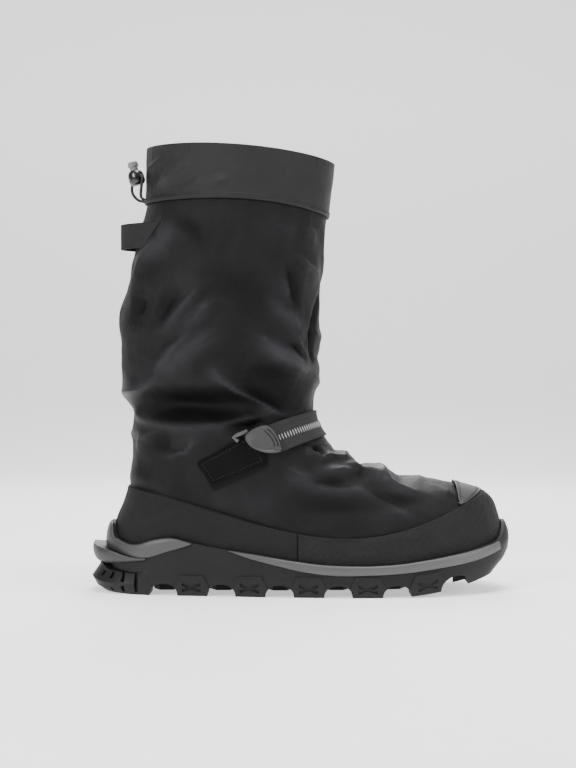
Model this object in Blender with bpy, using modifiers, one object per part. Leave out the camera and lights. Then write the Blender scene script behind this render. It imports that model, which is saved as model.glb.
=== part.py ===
"""Winter overshoe, right foot, standing empty on its sole.

The toe points along +X, the lateral side along -Y and the collar along +Z. The origin is on the floor under
the middle of the sole. All sizes are in metres. The upper is one function, and every overlay is cut from it.
"""

import math

import bmesh
import bpy
import numpy as np
from mathutils import Vector

# Overall sizes
SOLE_LENGTH = 0.345
SOLE_WIDTH = 0.122
OVERSHOE_HEIGHT = 0.364
SHAFT_DEPTH = 0.156
SHAFT_WIDTH = 0.116

# Walls, and the clearance between pieces
CLOTH_WALL = 0.0014
RAND_WALL = 0.0012
CUFF_WALL = 0.0014
PATCH_WALL = 0.0010
SOLE_WALL = 0.0030
BAND_WALL = 0.0018
INSOLE_THICKNESS = 0.0040
GAP = 0.0003
SOFT_GAP = 0.0006

# Sole
RIM_HEIGHT = 0.057
TOE_SPRING = 0.0235
SPRING_START = 0.69
HEEL_FLARE = 0.0135
TOE_ROLL = 0.0115
SPUR_REACH = 0.0115
LUG_PITCH = 0.0465
ARCH_WIDTH = 0.0225
ARCH_HEIGHT = 0.0095
LUG_DEPTH = 0.0230
TREAD_DEPTH = 0.0050
LUG_PAD = 0.0009
PAD_HEIGHT = 0.0165

# Strap, buckle and pull loop
STRAP_WIDTH = 0.0235
STRAP_THICKNESS = 0.0016
TAIL_THICKNESS = 0.0014
TAB_LENGTH = 0.0280
TAB_THICKNESS = 0.0032
TAB_STANDOFF = 0.0014
FRAME_WIRE = 0.0030
LOOP_WIDTH = 0.0205
LOOP_THICKNESS = 0.0015

# Drawcord and its lock
CORD_DIAMETER = 0.0024
LOCK_RADIUS = 0.0068
LOCK_HEIGHT = 0.0135
LOCK_BORE = 0.0032
BUTTON_RADIUS = 0.0044
BUTTON_HEIGHT = 0.0040
BUTTON_TRAVEL = 0.0030
STEM_RADIUS = 0.0034

# Rings of the upper, from the lasting edge to the collar. The columns are shares of the named sizes:
# where the ring starts behind the heel, how far it reaches forward, its height at heel and toe, how far its
# sides hang below the line between them, its width, and how far it follows the footprint and not an oval.
RING_COLUMNS = ("back", "reach", "heel", "toe", "dip", "width", "foot", "pinch")
RINGS = (
    (0.056, 0.926, 0.080, 0.082, 0.034, 0.890, 1.00, 0.00),
    (0.054, 0.929, 0.121, 0.115, 0.040, 0.893, 1.00, 0.00),
    (0.062, 0.912, 0.157, 0.159, 0.055, 0.893, 1.00, 0.00),
    (0.077, 0.881, 0.195, 0.199, 0.080, 0.885, 1.00, 0.00),
    (0.090, 0.842, 0.234, 0.221, 0.099, 0.869, 1.00, 0.00),
    (0.089, 0.820, 0.258, 0.236, 0.088, 0.863, 0.95, 0.00),
    (0.091, 0.808, 0.280, 0.246, 0.074, 0.859, 0.85, 0.00),
    (0.094, 0.798, 0.302, 0.257, 0.055, 0.865, 0.70, 0.00),
    (0.095, 0.809, 0.324, 0.277, 0.033, 0.874, 0.50, 0.00),
    (0.097, 0.847, 0.346, 0.301, 0.014, 0.891, 0.30, 0.00),
    (0.096, 0.885, 0.368, 0.331, 0.003, 0.915, 0.15, 0.00),
    (0.093, 0.992, 0.393, 0.368, 0.000, 0.948, 0.00, 0.00),
    (0.086, 0.981, 0.420, 0.415, 0.000, 0.974, 0.00, 0.00),
    (0.074, 1.031, 0.473, 0.470, 0.000, 1.000, 0.00, 0.00),
    (0.068, 1.060, 0.522, 0.522, 0.000, 1.026, 0.00, 0.00),
    (0.066, 1.059, 0.588, 0.591, 0.000, 1.043, 0.00, 0.05),
    (0.077, 1.037, 0.659, 0.659, 0.000, 1.034, 0.00, 0.10),
    (0.091, 1.021, 0.723, 0.723, 0.000, 1.017, 0.00, 0.15),
    (0.107, 0.990, 0.786, 0.783, 0.000, 0.991, 0.00, 0.22),
    (0.130, 0.954, 0.871, 0.841, -0.012, 0.974, 0.00, 0.30),
    (0.134, 0.979, 0.999, 0.962, -0.005, 0.966, 0.00, 0.35),
)
RAND_TOP = 4
CUFF_FOOT = 19
COLLAR = 20

# Footprint: fullness of each side against a plain ellipse, and how far the middle line drifts to the medial
# side as a share of the sole's width, at stations along the foot from the heel to the toe
FOOTPRINT_COLUMNS = ("along", "lateral", "medial", "drift")
FOOTPRINT = (
    (0.00, 1.30, 1.30, 0.000),
    (0.07, 1.20, 1.20, 0.000),
    (0.12, 1.08, 1.05, 0.000),
    (0.20, 0.95, 0.89, 0.000),
    (0.30, 0.91, 0.80, 0.000),
    (0.40, 0.93, 0.77, 0.000),
    (0.50, 0.97, 0.83, 0.000),
    (0.60, 1.02, 0.95, 0.002),
    (0.70, 1.09, 1.07, 0.006),
    (0.80, 1.17, 1.17, 0.014),
    (0.88, 1.23, 1.26, 0.024),
    (0.94, 1.27, 1.33, 0.036),
    (1.00, 1.28, 1.36, 0.046),
)

# Rim of the sole's wall and the lower edge of the grey bands, as shares of the rim's height at the heel, at
# stations round the foot from the toe (0) to the heel (1). Both sides are alike.
RIM_COLUMNS = ("round", "height")
RIM = (
    (0.000, 1.00),
    (0.030, 0.97),
    (0.064, 0.87),
    (0.090, 0.78),
    (0.116, 0.73),
    (0.160, 0.68),
    (0.232, 0.60),
    (0.305, 0.52),
    (0.354, 0.47),
    (0.426, 0.445),
    (0.482, 0.465),
    (0.531, 0.52),
    (0.588, 0.60),
    (0.641, 0.66),
    (0.693, 0.73),
    (0.744, 0.81),
    (0.782, 0.78),
    (0.823, 0.71),
    (0.888, 0.76),
    (0.920, 0.81),
    (0.940, 0.93),
    (0.965, 0.985),
    (1.000, 1.00),
)
FLANK_COLUMNS = ("round", "lower")
FLANK_BAND = (
    (0.116, 0.60),
    (0.193, 0.49),
    (0.294, 0.39),
    (0.354, 0.335),
    (0.414, 0.312),
    (0.462, 0.31),
    (0.504, 0.35),
    (0.551, 0.44),
    (0.600, 0.55),
    (0.630, 0.635),
)
CRADLE_COLUMNS = ("round", "lower")
CRADLE = (
    (0.700, 0.72),
    (0.723, 0.663),
    (0.749, 0.616),
    (0.779, 0.553),
    (0.805, 0.521),
    (0.829, 0.521),
    (0.888, 0.579),
    (0.940, 0.615),
    (1.000, 0.66),
)

# Rows of the sole's outer wall, from the tread to the rim: height between the two, then how thick the wall
# is at the sides, how far it flares at the heel and how far the toe rolls in below its bumper
WALL_COLUMNS = ("rise", "side", "heel", "toe")
WALL_ROWS = (
    (0.00, 0.75, 0.22, -1.00),
    (0.09, 0.90, 0.74, -0.62),
    (0.21, 1.00, 1.00, -0.20),
    (0.37, 1.05, 0.52, 0.00),
    (0.42, 1.05, 0.48, 0.00),
    (0.45, 1.02, 0.08, 0.03),
    (0.56, 1.00, 0.05, 0.08),
    (0.75, 0.95, 0.02, 0.12),
    (0.92, 0.90, 0.00, 0.07),
    (1.00, 0.75, 0.00, 0.04),
)

# Section of a grey band: height between its lower line and the rim, and how proud it stands
BAND_SECTION = (
    (0.0, 0.0),
    (0.0, 0.45),
    (0.25, 1.0),
    (0.75, 1.0),
    (1.0, 0.45),
    (1.0, 0.0),
    (0.8, 0.0),
    (0.4, 0.0),
)
# Section of the kick spur: reach as a share of its own, height over the cradle's lower line as a share of
# the rim's height
SPUR_SECTION = (
    (0.0, 0.0),
    (0.25, 0.0),
    (1.0, 0.055),
    (1.02, -0.05),
    (0.80, -0.15),
    (0.45, -0.175),
    (0.0, -0.175),
)
SPUR_START = 0.80

# Middle line of the instep strap in a side view, as shares of the sole's length and of the height
STRAP_LINE_COLUMNS = ("along", "height")
STRAP_POINTS = (
    (0.230, 0.240),
    (0.268, 0.264),
    (0.340, 0.304),
    (0.413, 0.336),
    (0.480, 0.359),
    (0.545, 0.375),
    (0.600, 0.384),
)
# Ends of the strap from the middle of the sole, as shares of its length
STRAP_LATERAL_END = -0.066
STRAP_MEDIAL_END = -0.223

# Buckle pieces in a side view, as shares of the sole's length from its middle and of the height.
# Corners run lower rear, lower front, upper front, upper rear.
PATCH_CORNERS = ((-0.204, 0.232), (-0.076, 0.285), (-0.120, 0.356), (-0.241, 0.292))
TAIL_CORNERS = ((-0.209, 0.249), (-0.078, 0.298), (-0.120, 0.352), (-0.239, 0.290))
FRAME_ROUTE = ((-0.146, 0.341), (-0.156, 0.350), (-0.150, 0.3545), (-0.136, 0.3595), (-0.1265, 0.3635))
TAB_CENTRE = (-0.0923, 0.343)
# Outline of the tab and its two slots, as shares of its length
TAB_OUTLINE = ((-0.50, 0.10), (-0.28, 0.29), (-0.01, 0.39), (0.17, 0.365), (0.37, 0.12), (0.50, -0.215),
               (0.455, -0.36), (0.137, -0.385), (-0.20, -0.29), (-0.42, -0.12))
TAB_SLOTS = (((0.02, 0.25), (0.26, 0.08), (0.33, -0.20)), ((0.12, 0.30), (0.36, 0.10), (0.42, -0.19)))
SLOT_WIDTH = 0.0010

# Toe patch: half its spread round the toe, and its back edge along the sole
TOE_PATCH_TURN = 0.084
TOE_PATCH_BACK = 0.865
TOE_PATCH_BOW = 0.006

# Pull loop: height of its lower edge, where its slanted ends start at the lower and upper edges, and its back
LOOP_FOOT = 0.769
LOOP_LOW_END = 0.133
LOOP_HIGH_END = 0.175
LOOP_BACK = 0.067

# Cord lock: its centre and the drawcord's free points, as shares of the sole's length from its middle, of
# the sole's width and of the height
LOCK_CENTRE = (-0.3945, -0.035, 0.9330)
LOCK_LEAN = math.radians(15)
LOCK_PROFILE = (
    (-0.50, 0.50),
    (-0.44, 0.78),
    (-0.25, 0.98),
    (0.00, 1.00),
    (0.22, 0.92),
    (0.38, 0.74),
    (0.42, 0.62),
)
LOCK_AXIS = (-math.sin(LOCK_LEAN), 0.0, math.cos(LOCK_LEAN))
CORD_ROUTE = (
    (-0.3735, -0.080, 0.880),
    (-0.3795, -0.090, 0.884),
    (-0.3800, -0.110, 0.905),
    (-0.3770, -0.118, 0.930),
    (-0.4070, 0.045, 0.922),
    (-0.4070, 0.040, 0.902),
    (-0.3920, 0.035, 0.884),
    (-0.3750, 0.030, 0.880),
)

COLUMNS = 42
SOLE_COLUMNS = 84
# Rows of the upper's mesh, closer together where the instep is hollow
LEVELS = (*range(10), 9.5, 10, 10.5, 11, 11.5, *range(12, 21))
DENSE_LEVELS = np.linspace(0, COLLAR, 20 * COLLAR + 1)


def table(columns, rows):
    return dict(zip(columns, np.array(rows, float).T))


RING = table(RING_COLUMNS, RINGS)
FOOT = table(FOOTPRINT_COLUMNS, FOOTPRINT)
RIM_LINE = table(RIM_COLUMNS, RIM)
FLANK_LINE = table(FLANK_COLUMNS, FLANK_BAND)
CRADLE_LINE = table(CRADLE_COLUMNS, CRADLE)
STRAP_LINE = table(STRAP_LINE_COLUMNS, STRAP_POINTS)
CORD_AXIS = np.array([0.60, -0.80, 0.60 * math.tan(LOCK_LEAN)])
CORD_AXIS /= np.linalg.norm(CORD_AXIS)
WALL = table(WALL_COLUMNS, WALL_ROWS)
RING_NUMBERS = np.arange(len(RINGS), dtype=float)


def smooth(places, stations, values):
    """Reads a smooth curve through values at stations, at the given places."""
    places = np.clip(np.asarray(places, float), stations[0], stations[-1])
    slopes = np.gradient(values, stations)
    i = np.clip(np.searchsorted(stations, places) - 1, 0, len(stations) - 2)
    step = stations[i + 1] - stations[i]
    u = (places - stations[i]) / step
    start = (1 + 2 * u) * (1 - u) ** 2 * values[i] + u * (1 - u) ** 2 * step * slopes[i]
    end = u**2 * (3 - 2 * u) * values[i + 1] + u**2 * (u - 1) * step * slopes[i + 1]
    return start + end


def eased(share):
    share = np.clip(share, 0, 1)
    return share * share * (3 - 2 * share)


def upper_surface(turn, level):
    """Outside of the upper's cloth. turn runs from the toe (0) by the lateral side to the heel (0.5)."""
    turn, level = np.broadcast_arrays(np.asarray(turn, float), np.asarray(level, float))
    ring = {name: smooth(level, RING_NUMBERS, RING[name]) for name in RING_COLUMNS}
    length = ring["reach"] * (ring["foot"] * SOLE_LENGTH + (1 - ring["foot"]) * SHAFT_DEPTH)
    half = ring["width"] * (ring["foot"] * SOLE_WIDTH + (1 - ring["foot"]) * SHAFT_WIDTH) / 2
    along = (1 + np.cos(2 * math.pi * turn)) / 2
    side = np.sin(2 * math.pi * turn)
    lateral = smooth(along, FOOT["along"], FOOT["lateral"])
    medial = smooth(along, FOOT["along"], FOOT["medial"])
    fullness = 1 + ring["foot"] * (np.where(side > 0, lateral, medial) - 1)
    pinched = np.abs(side) ** (ring["pinch"] * (1 - along) ** 2)
    x = (ring["back"] - 0.5) * SOLE_LENGTH + along * length
    drift = smooth(x / SOLE_LENGTH + 0.5, FOOT["along"], FOOT["drift"]) * SOLE_WIDTH
    y = drift - half * fullness * pinched * side
    hang = np.sin(math.pi * along**1.36)
    share = ring["heel"] + along * (ring["toe"] - ring["heel"]) - ring["dip"] * hang
    return np.stack([x, y, share * OVERSHOE_HEIGHT], -1)


def outward(turn, level):
    """Unit normal of the upper, pointing out."""
    step = 2e-3
    level = np.asarray(level, float)
    low, high = np.clip(level - 10 * step, 0, COLLAR), np.clip(level + 10 * step, 0, COLLAR)
    up = upper_surface(turn, high) - upper_surface(turn, low)
    round_it = upper_surface(np.asarray(turn) + step, level) - upper_surface(np.asarray(turn) - step, level)
    normal = np.cross(up, round_it)
    return normal / np.linalg.norm(normal, axis=-1, keepdims=True)


def upper_lifted(turn, level, lift):
    return upper_surface(turn, level) + np.asarray(lift)[..., None] * outward(turn, level)


def plan_outward(turn, level):
    """Level unit vector that points out of the upper's outline, seen from above."""
    step = 1e-3
    dx, dy, _ = upper_surface(turn + step, level) - upper_surface(turn - step, level)
    return np.array([-dy, dx, 0.0]) / math.hypot(dx, dy)


def level_at(turn, height):
    return float(np.interp(height, upper_surface(turn, DENSE_LEVELS)[:, 2], DENSE_LEVELS))


def foot_wall(turn, height, lift):
    """The foot's wall at a height, moved outward in plan: the upper's surface, or its outline below that."""
    level = max(1.0, level_at(turn, height))
    point = upper_surface(turn, level) + lift * plan_outward(turn, level)
    return np.array([point[0], point[1], height])


def round_share(turn):
    """0 at the toe and 1 at the heel, on either side."""
    turn = turn % 1.0
    return 2 * min(turn, 1 - turn)


def tread_height(x):
    """Height of the tread: on the floor, then rising in the toe spring."""
    start = (SPRING_START - 0.5) * SOLE_LENGTH
    share = max(0.0, (x - start) / (SOLE_LENGTH / 2 - start))
    return TOE_SPRING * share**2


def rim_height(turn):
    return float(smooth(round_share(turn), RIM_LINE["round"], RIM_LINE["height"])) * RIM_HEIGHT


def heel_share(turn):
    return float(eased((round_share(turn) - 0.76) / 0.20))


def toe_share(turn):
    return float(eased((0.17 - round_share(turn)) / 0.12))


INNER_LIFT = GAP + RAND_WALL + SOFT_GAP


def wall_point(turn, rise, lift=0.0):
    """Outside of the sole's wall, at a share of the way from the tread to the rim."""
    row = {name: float(np.interp(rise, WALL["rise"], WALL[name])) for name in WALL_COLUMNS}
    out = INNER_LIFT + row["side"] * SOLE_WALL + row["heel"] * heel_share(turn) * HEEL_FLARE
    out += row["toe"] * toe_share(turn) * TOE_ROLL + lift
    rim = rim_height(turn)
    base = tread_height(foot_wall(turn, 0, out)[0])
    return foot_wall(turn, base + rise * (rim - base), out)


def wall_at_height(turn, height, lift):
    """Outside of the sole's wall at a height above the floor."""
    base = tread_height(foot_wall(turn, 0, INNER_LIFT)[0])
    return wall_point(turn, float(np.clip((height - base) / (rim_height(turn) - base), 0, 1)), lift)


def clear_scene():
    for thing in list(bpy.data.objects):
        bpy.data.objects.remove(thing)


def collection(name):
    made = bpy.data.collections.new(name)
    bpy.context.scene.collection.children.link(made)
    return made


def material(name, colour, roughness, metallic=0.0):
    made = bpy.data.materials.new(name)
    made.use_nodes = True
    shader = made.node_tree.nodes["Principled BSDF"]
    shader.inputs["Base Color"].default_value = (*colour, 1.0)
    shader.inputs["Roughness"].default_value = roughness
    shader.inputs["Metallic"].default_value = metallic
    return made


def place(name, mesh, finish, where):
    made = bpy.data.objects.new(name, mesh)
    if finish:
        mesh.materials.append(finish)
    where.objects.link(made)
    return made


def cutter(name, mesh):
    made = place(name, mesh, None, CUTTERS)
    made.hide_render = True
    made.display_type = "WIRE"
    return made


def grid_faces(rows, columns, around, first=0):
    """Quads of a grid whose columns run round the foot, facing out."""
    last = columns if around else columns - 1
    for r in range(rows - 1):
        for c in range(last):
            low, high = first + r * columns, first + (r + 1) * columns
            after = (c + 1) % columns
            yield (low + c, high + c, high + after, low + after)


def mesh_from(name, points, faces):
    mesh = bpy.data.meshes.new(name)
    mesh.from_pydata([tuple(p) for p in points], [], list(faces))
    mesh.validate()
    mesh.update()
    mesh.shade_smooth()
    mesh.set_sharp_from_angle(angle=math.radians(40))
    return mesh


def sheet(name, grid, around, thickness, finish):
    """A wall of cloth or rubber: an open surface of rows and columns, thickened inwards."""
    rows, columns = grid.shape[:2]
    mesh = mesh_from(name, grid.reshape(-1, 3), grid_faces(rows, columns, around))
    made = place(name, mesh, finish, PARTS)
    wall = made.modifiers.new("wall", "SOLIDIFY")
    wall.thickness = thickness
    wall.offset = -1
    wall.use_even_offset = True
    return made


def prism(name, base, top):
    """Closed mesh between two outlines of as many points, base and top."""
    count = len(base)
    faces = [tuple(range(count))[::-1], tuple(range(count, 2 * count))]
    faces += [(i, (i + 1) % count, count + (i + 1) % count, count + i) for i in range(count)]
    mesh = mesh_from(name, list(base) + list(top), faces)
    shape = bmesh.new()
    shape.from_mesh(mesh)
    bmesh.ops.recalc_face_normals(shape, faces=shape.faces)
    shape.to_mesh(mesh)
    shape.free()
    return mesh


def joined(name, meshes):
    """Several closed meshes in one."""
    shape = bmesh.new()
    for mesh in meshes:
        shape.from_mesh(mesh)
    made = bpy.data.meshes.new(name)
    shape.to_mesh(made)
    shape.free()
    return made


def combine(target, other, operation):
    step = target.modifiers.new(other.name, "BOOLEAN")
    step.operation = operation
    step.object = other
    step.solver = "EXACT"


ROUND = np.arange(COLUMNS) / COLUMNS
SOLE_ROUND = np.arange(SOLE_COLUMNS) / SOLE_COLUMNS


def build_upper():
    levels = np.array(sorted(set(LEVELS)), float)
    grid = upper_surface(ROUND[None, :], levels[:, None])
    return sheet("upper", grid, True, CLOTH_WALL, CLOTH)


def build_rand():
    levels = np.arange(RAND_TOP + 1, dtype=float)
    lift = np.full((len(levels), COLUMNS), GAP + RAND_WALL)
    grid = upper_lifted(ROUND[None, :], levels[:, None], lift)
    return sheet("rand", grid, True, RAND_WALL, WEAVE)


def build_cuff():
    levels = np.array([level for level in LEVELS if level >= CUFF_FOOT], float)
    lift = np.full((len(levels), COLUMNS), GAP + CUFF_WALL)
    grid = upper_lifted(ROUND[None, :], levels[:, None], lift)
    return sheet("cuff", grid, True, CUFF_WALL, CUFF_CLOTH)


def bed_height(turn):
    """Top of the sole's plate, just under the upper's lower edge."""
    return float(upper_surface(turn, 0.0)[2]) - GAP


def strips(count, first, upward):
    """Faces across the foot between a ring's lateral and medial halves."""
    for c in range(count // 2):
        corners = (c, c + 1, count - c - 1, (count - c) % count)
        face = [first + p for i, p in enumerate(corners) if p not in corners[:i]]
        yield tuple(face[::-1] if upward else face)


def slab(name, low, high):
    """Closed mesh between two rings that run round the foot, low and high."""
    count = len(low)
    faces = [*grid_faces(2, count, True), *strips(count, 0, False), *strips(count, count, True)]
    return mesh_from(name, [*low, *high], faces)


def build_sole():
    rows = [[wall_point(t, rise) for t in SOLE_ROUND] for rise in WALL["rise"]]
    for share in (1.0, 0.66, 0.33, 0.0):
        rows.append([])
        for t in SOLE_ROUND:
            bed = bed_height(t)
            rows[-1].append(foot_wall(t, bed + share * (rim_height(t) - bed), INNER_LIFT))
    points = np.array(rows).reshape(-1, 3)
    last = (len(rows) - 1) * SOLE_COLUMNS
    faces = [*grid_faces(len(rows), SOLE_COLUMNS, True)]
    faces += [*strips(SOLE_COLUMNS, 0, False), *strips(SOLE_COLUMNS, last, True)]
    outsole = place("outsole", mesh_from("outsole", points, faces), RUBBER, PARTS)
    combine(outsole, cutter("lug_pads", joined("lug_pads", lug_pad_meshes())), "UNION")
    combine(outsole, cutter("tread_arches", joined("tread_arches", arch_meshes())), "DIFFERENCE")
    combine(outsole, cutter("tread_pocket", pocket_mesh()), "DIFFERENCE")
    combine(outsole, cutter("centre_lugs", joined("centre_lugs", centre_lug_meshes())), "UNION")
    return outsole


def build_insole():
    low, high = [], []
    for t in ROUND:
        inset = -CLOTH_WALL - 2 * SOFT_GAP
        outline = upper_surface(t, 0.0) + inset * plan_outward(t, 0.0)
        bottom = bed_height(t) + 2 * GAP
        low.append((outline[0], outline[1], bottom))
        high.append((outline[0], outline[1], bottom + INSOLE_THICKNESS))
    return place("insole", slab("insole", low, high), FOAM, PARTS)


def arch_places():
    """Middle of each arch between two lugs along the sole, from heel to toe."""
    first = -SOLE_LENGTH * 0.32
    count = int((SOLE_LENGTH * 0.36 - first) / LUG_PITCH) + 1
    return [first + i * LUG_PITCH for i in range(count)]


def turn_at(x, side):
    """turn at which the foot's outline passes x, on the lateral (1) or medial (-1) side."""
    turns = np.linspace(0.001, 0.499, 500)
    xs = upper_surface(turns, 1.0)[:, 0]
    turn = float(np.interp(-x, -xs, turns))
    return turn if side > 0 else 1 - turn


def arch_meshes():
    """Cutters for the arches between the lugs, from outside the sole's edge to past the lugs' depth."""
    for x in arch_places():
        for side in (1, -1):
            turn = turn_at(x, side)
            outer = foot_wall(turn, 0, INNER_LIFT + 4 * SOLE_WALL)
            inner = foot_wall(turn, 0, -LUG_DEPTH - TREAD_DEPTH)
            outline = []
            for i in range(10):
                angle = math.pi * i / 9
                outline.append((ARCH_WIDTH / 2 * math.cos(angle), ARCH_HEIGHT * math.sin(angle) ** 0.8))
            outline += [(-ARCH_WIDTH / 2, -ARCH_HEIGHT), (ARCH_WIDTH / 2, -ARCH_HEIGHT)]
            rise = tread_height(x)
            slope = (tread_height(x + 0.005) - tread_height(x - 0.005)) / 0.01
            base = [(x + a, outer[1], rise + slope * a + z) for a, z in outline]
            top = [(x + a, inner[1], rise + slope * a + z) for a, z in outline]
            yield prism("arch", base, top)


def pocket_mesh():
    """Cutter for the hollow of the tread inside the edge lugs."""
    low, high = [], []
    for t in np.arange(28) / 28:
        x, y, _ = foot_wall(t, 0, -LUG_DEPTH)
        low.append((x, y, tread_height(x) - TREAD_DEPTH))
        high.append((x, y, tread_height(x) + TREAD_DEPTH))
    return slab("tread_pocket", low, high)


def centre_lug_meshes():
    """Six-sided lugs down the middle of the tread."""
    for x in arch_places()[:-1]:
        middle = (foot_wall(turn_at(x, 1), 0, 0)[1] + foot_wall(turn_at(x, -1), 0, 0)[1]) / 2
        half = LUG_PITCH * 0.26
        wide = half * 1.15
        corners = np.radians(range(0, 360, 60))
        outline = [(half * math.cos(a), wide * math.sin(a)) for a in corners]
        base = [(x + 0.92 * a, middle + 0.92 * b, tread_height(x + a)) for a, b in outline]
        top = [(x + a, middle + b, tread_height(x + a) + 2 * TREAD_DEPTH) for a, b in outline]
        yield prism("centre_lug", base, top)


def lug_pad_meshes():
    """Raised six-sided face on the outside of each lug."""
    lower, middle, upper = (share * PAD_HEIGHT for share in (0.05, 0.3, 1.0))
    for x in [a + LUG_PITCH / 2 for a in arch_places()[:-1]]:
        for side in (1, -1):
            half = (LUG_PITCH - ARCH_WIDTH) / 2
            rear = ((-1.15, lower), (-1.28, middle), (-0.80, upper))
            outline = (*rear, *((-a, z) for a, z in rear[::-1]))
            skin, root = [], []
            for a, z in outline:
                turn = turn_at(x + a * half, side)
                height = tread_height(x + a * half) + z
                skin.append(wall_at_height(turn, height, LUG_PAD))
                root.append(wall_at_height(turn, height, -0.5 * SOLE_WALL))
            yield prism("lug_pad", root, skin)


def loft(name, sections):
    """Closed mesh through sections of as many points each, capped at both ends."""
    count = len(sections[0])
    points = [p for section in sections for p in section]
    faces = [tuple(range(count)), tuple(range(len(points) - count, len(points)))]
    for s in range(len(sections) - 1):
        for i in range(count):
            a, b = s * count + i, s * count + (i + 1) % count
            faces.append((a, b, b + count, a + count))
    mesh = mesh_from(name, points, faces)
    shape = bmesh.new()
    shape.from_mesh(mesh)
    bmesh.ops.recalc_face_normals(shape, faces=shape.faces)
    shape.to_mesh(mesh)
    shape.free()
    return mesh


def turns_on_sole(start, end):
    """The sole's own columns between two turns, and the two turns."""
    inside = [t for t in SOLE_ROUND if start + 0.25 / SOLE_COLUMNS < t < end - 0.25 / SOLE_COLUMNS]
    return [start, *inside, end]


def line_height(line, turn):
    return float(smooth(round_share(turn), line["round"], line["lower"])) * RIM_HEIGHT


def build_band(name, turns, line):
    """A grey bead on the sole's wall, from a line up to the rim."""
    sections = []
    for t in turns:
        low, high = line_height(line, t), rim_height(t) - GAP
        section = []
        for share, proud in BAND_SECTION:
            height = low + share * (high - low)
            section.append(wall_at_height(t, height, 0.7 * SOFT_GAP + proud * BAND_WALL))
        sections.append(section)
    return place(name, loft(name, sections), GREY, PARTS)


def build_bands():
    front, rear = FLANK_LINE["round"][0] / 2, FLANK_LINE["round"][-1] / 2
    build_band("flank_band_lateral", turns_on_sole(front, rear), FLANK_LINE)
    build_band("flank_band_medial", turns_on_sole(1 - rear, 1 - front), FLANK_LINE)
    start = CRADLE_LINE["round"][0] / 2
    build_band("heel_cradle", turns_on_sole(start, 1 - start), CRADLE_LINE)
    sections = []
    for t in turns_on_sole(SPUR_START / 2, 1 - SPUR_START / 2):
        size = 0.12 + 0.88 * float(eased((round_share(t) - SPUR_START) / (1 - SPUR_START) * 1.5))
        section = []
        for reach, height in SPUR_SECTION:
            level = line_height(CRADLE_LINE, t) - SOFT_GAP + height * size * RIM_HEIGHT
            section.append(wall_at_height(t, level, SOFT_GAP + reach * size * SPUR_REACH))
        sections.append(section)
    place("kick_spur", loft("kick_spur", sections), GREY, PARTS)


def walk(turn, level, heading, distance):
    """Moves over the upper's surface along a heading, and gives the turn and level it reaches."""
    steps = 6
    for _ in range(steps):
        here = upper_surface(turn, level)
        across = (upper_surface(turn + 1e-3, level) - here) / 1e-3
        up = (upper_surface(turn, level + 1e-2) - here) / 1e-2
        move = np.linalg.lstsq(np.stack([across, up], 1), heading * distance / steps, rcond=None)[0]
        turn, level = turn + move[0], level + move[1]
    return turn, level


def on_flank(x, z, turn=0.25, level=10.0):
    """turn and level of the place on the lateral side that shows at x and z in a side view."""
    for _ in range(25):
        here = upper_surface(turn, level)
        across = (upper_surface(turn + 1e-3, level) - here) / 1e-3
        up = (upper_surface(turn, level + 1e-2) - here) / 1e-2
        slopes = np.array([[across[0], up[0]], [across[2], up[2]]])
        move = np.linalg.solve(slopes, np.array([x - here[0], z - here[2]]))
        turn, level = turn + float(np.clip(move[0], -0.04, 0.04)), level + float(np.clip(move[1], -1, 1))
    return turn, level


def strap_level(turn):
    """Level at which the strap's middle line crosses a turn of the upper."""
    levels = np.linspace(5, 14, 181)
    points = upper_surface(turn, levels)
    line = smooth(points[:, 0] / SOLE_LENGTH + 0.5, STRAP_LINE["along"], STRAP_LINE["height"])
    return float(np.interp(0.0, points[:, 2] - line * OVERSHOE_HEIGHT, levels))


def strap_turn(x, side):
    """turn at which the strap passes x, on the lateral (1) or medial (-1) side."""
    turns = np.linspace(0.0, 0.45, 120)
    xs = [float(upper_surface(side * t, strap_level(side * t))[0]) for t in turns]
    return side * float(np.interp(-x, [-value for value in xs], turns))


def build_strap():
    ends = (strap_turn(STRAP_MEDIAL_END * SOLE_LENGTH, -1), strap_turn(STRAP_LATERAL_END * SOLE_LENGTH, 1))
    turns = np.linspace(*ends, 26)
    rows = [[] for _ in range(4)]
    for t in turns:
        level = strap_level(t)
        after, before = t + 1e-3, t - 1e-3
        along = upper_surface(after, strap_level(after)) - upper_surface(before, strap_level(before))
        heading = np.cross(along / np.linalg.norm(along), outward(t, level)) * -1
        for row, share in zip(rows, (-0.5, -0.17, 0.17, 0.5)):
            place_turn, place_level = walk(t, level, heading, share * STRAP_WIDTH)
            row.append(upper_lifted(place_turn, place_level, SOFT_GAP + STRAP_THICKNESS))
    return sheet("instep_strap", np.array(rows), False, STRAP_THICKNESS, WEBBING)


def flank_quad(name, corners, lift, thickness, columns, rows, finish):
    """A sheet on the lateral side between its corners: lower rear, lower front, upper front, upper rear."""
    grid = np.zeros((rows, columns, 3))
    low_rear, low_front, high_front, high_rear = np.array(corners) * (SOLE_LENGTH, OVERSHOE_HEIGHT)
    for r in range(rows):
        v = r / (rows - 1)
        for c in range(columns):
            u = 1 - c / (columns - 1)
            low = low_rear + u * (low_front - low_rear)
            high = high_rear + u * (high_front - high_rear)
            turn, level = on_flank(*(low + v * (high - low)))
            grid[r, c] = upper_lifted(turn, level, lift + thickness)
    return sheet(name, grid, False, thickness, finish)


def flank_frame(centre):
    """Place and axes of a flat piece on the lateral side: forward, up and outward."""
    turn, level = on_flank(centre[0] * SOLE_LENGTH, centre[1] * OVERSHOE_HEIGHT)
    normal = outward(turn, level)
    forward = np.array([1.0, -normal[0] / normal[1], 0.0])
    upward = np.array([0.0, -normal[2] / normal[1], 1.0])
    return upper_surface(turn, level), forward, upward, normal


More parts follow.
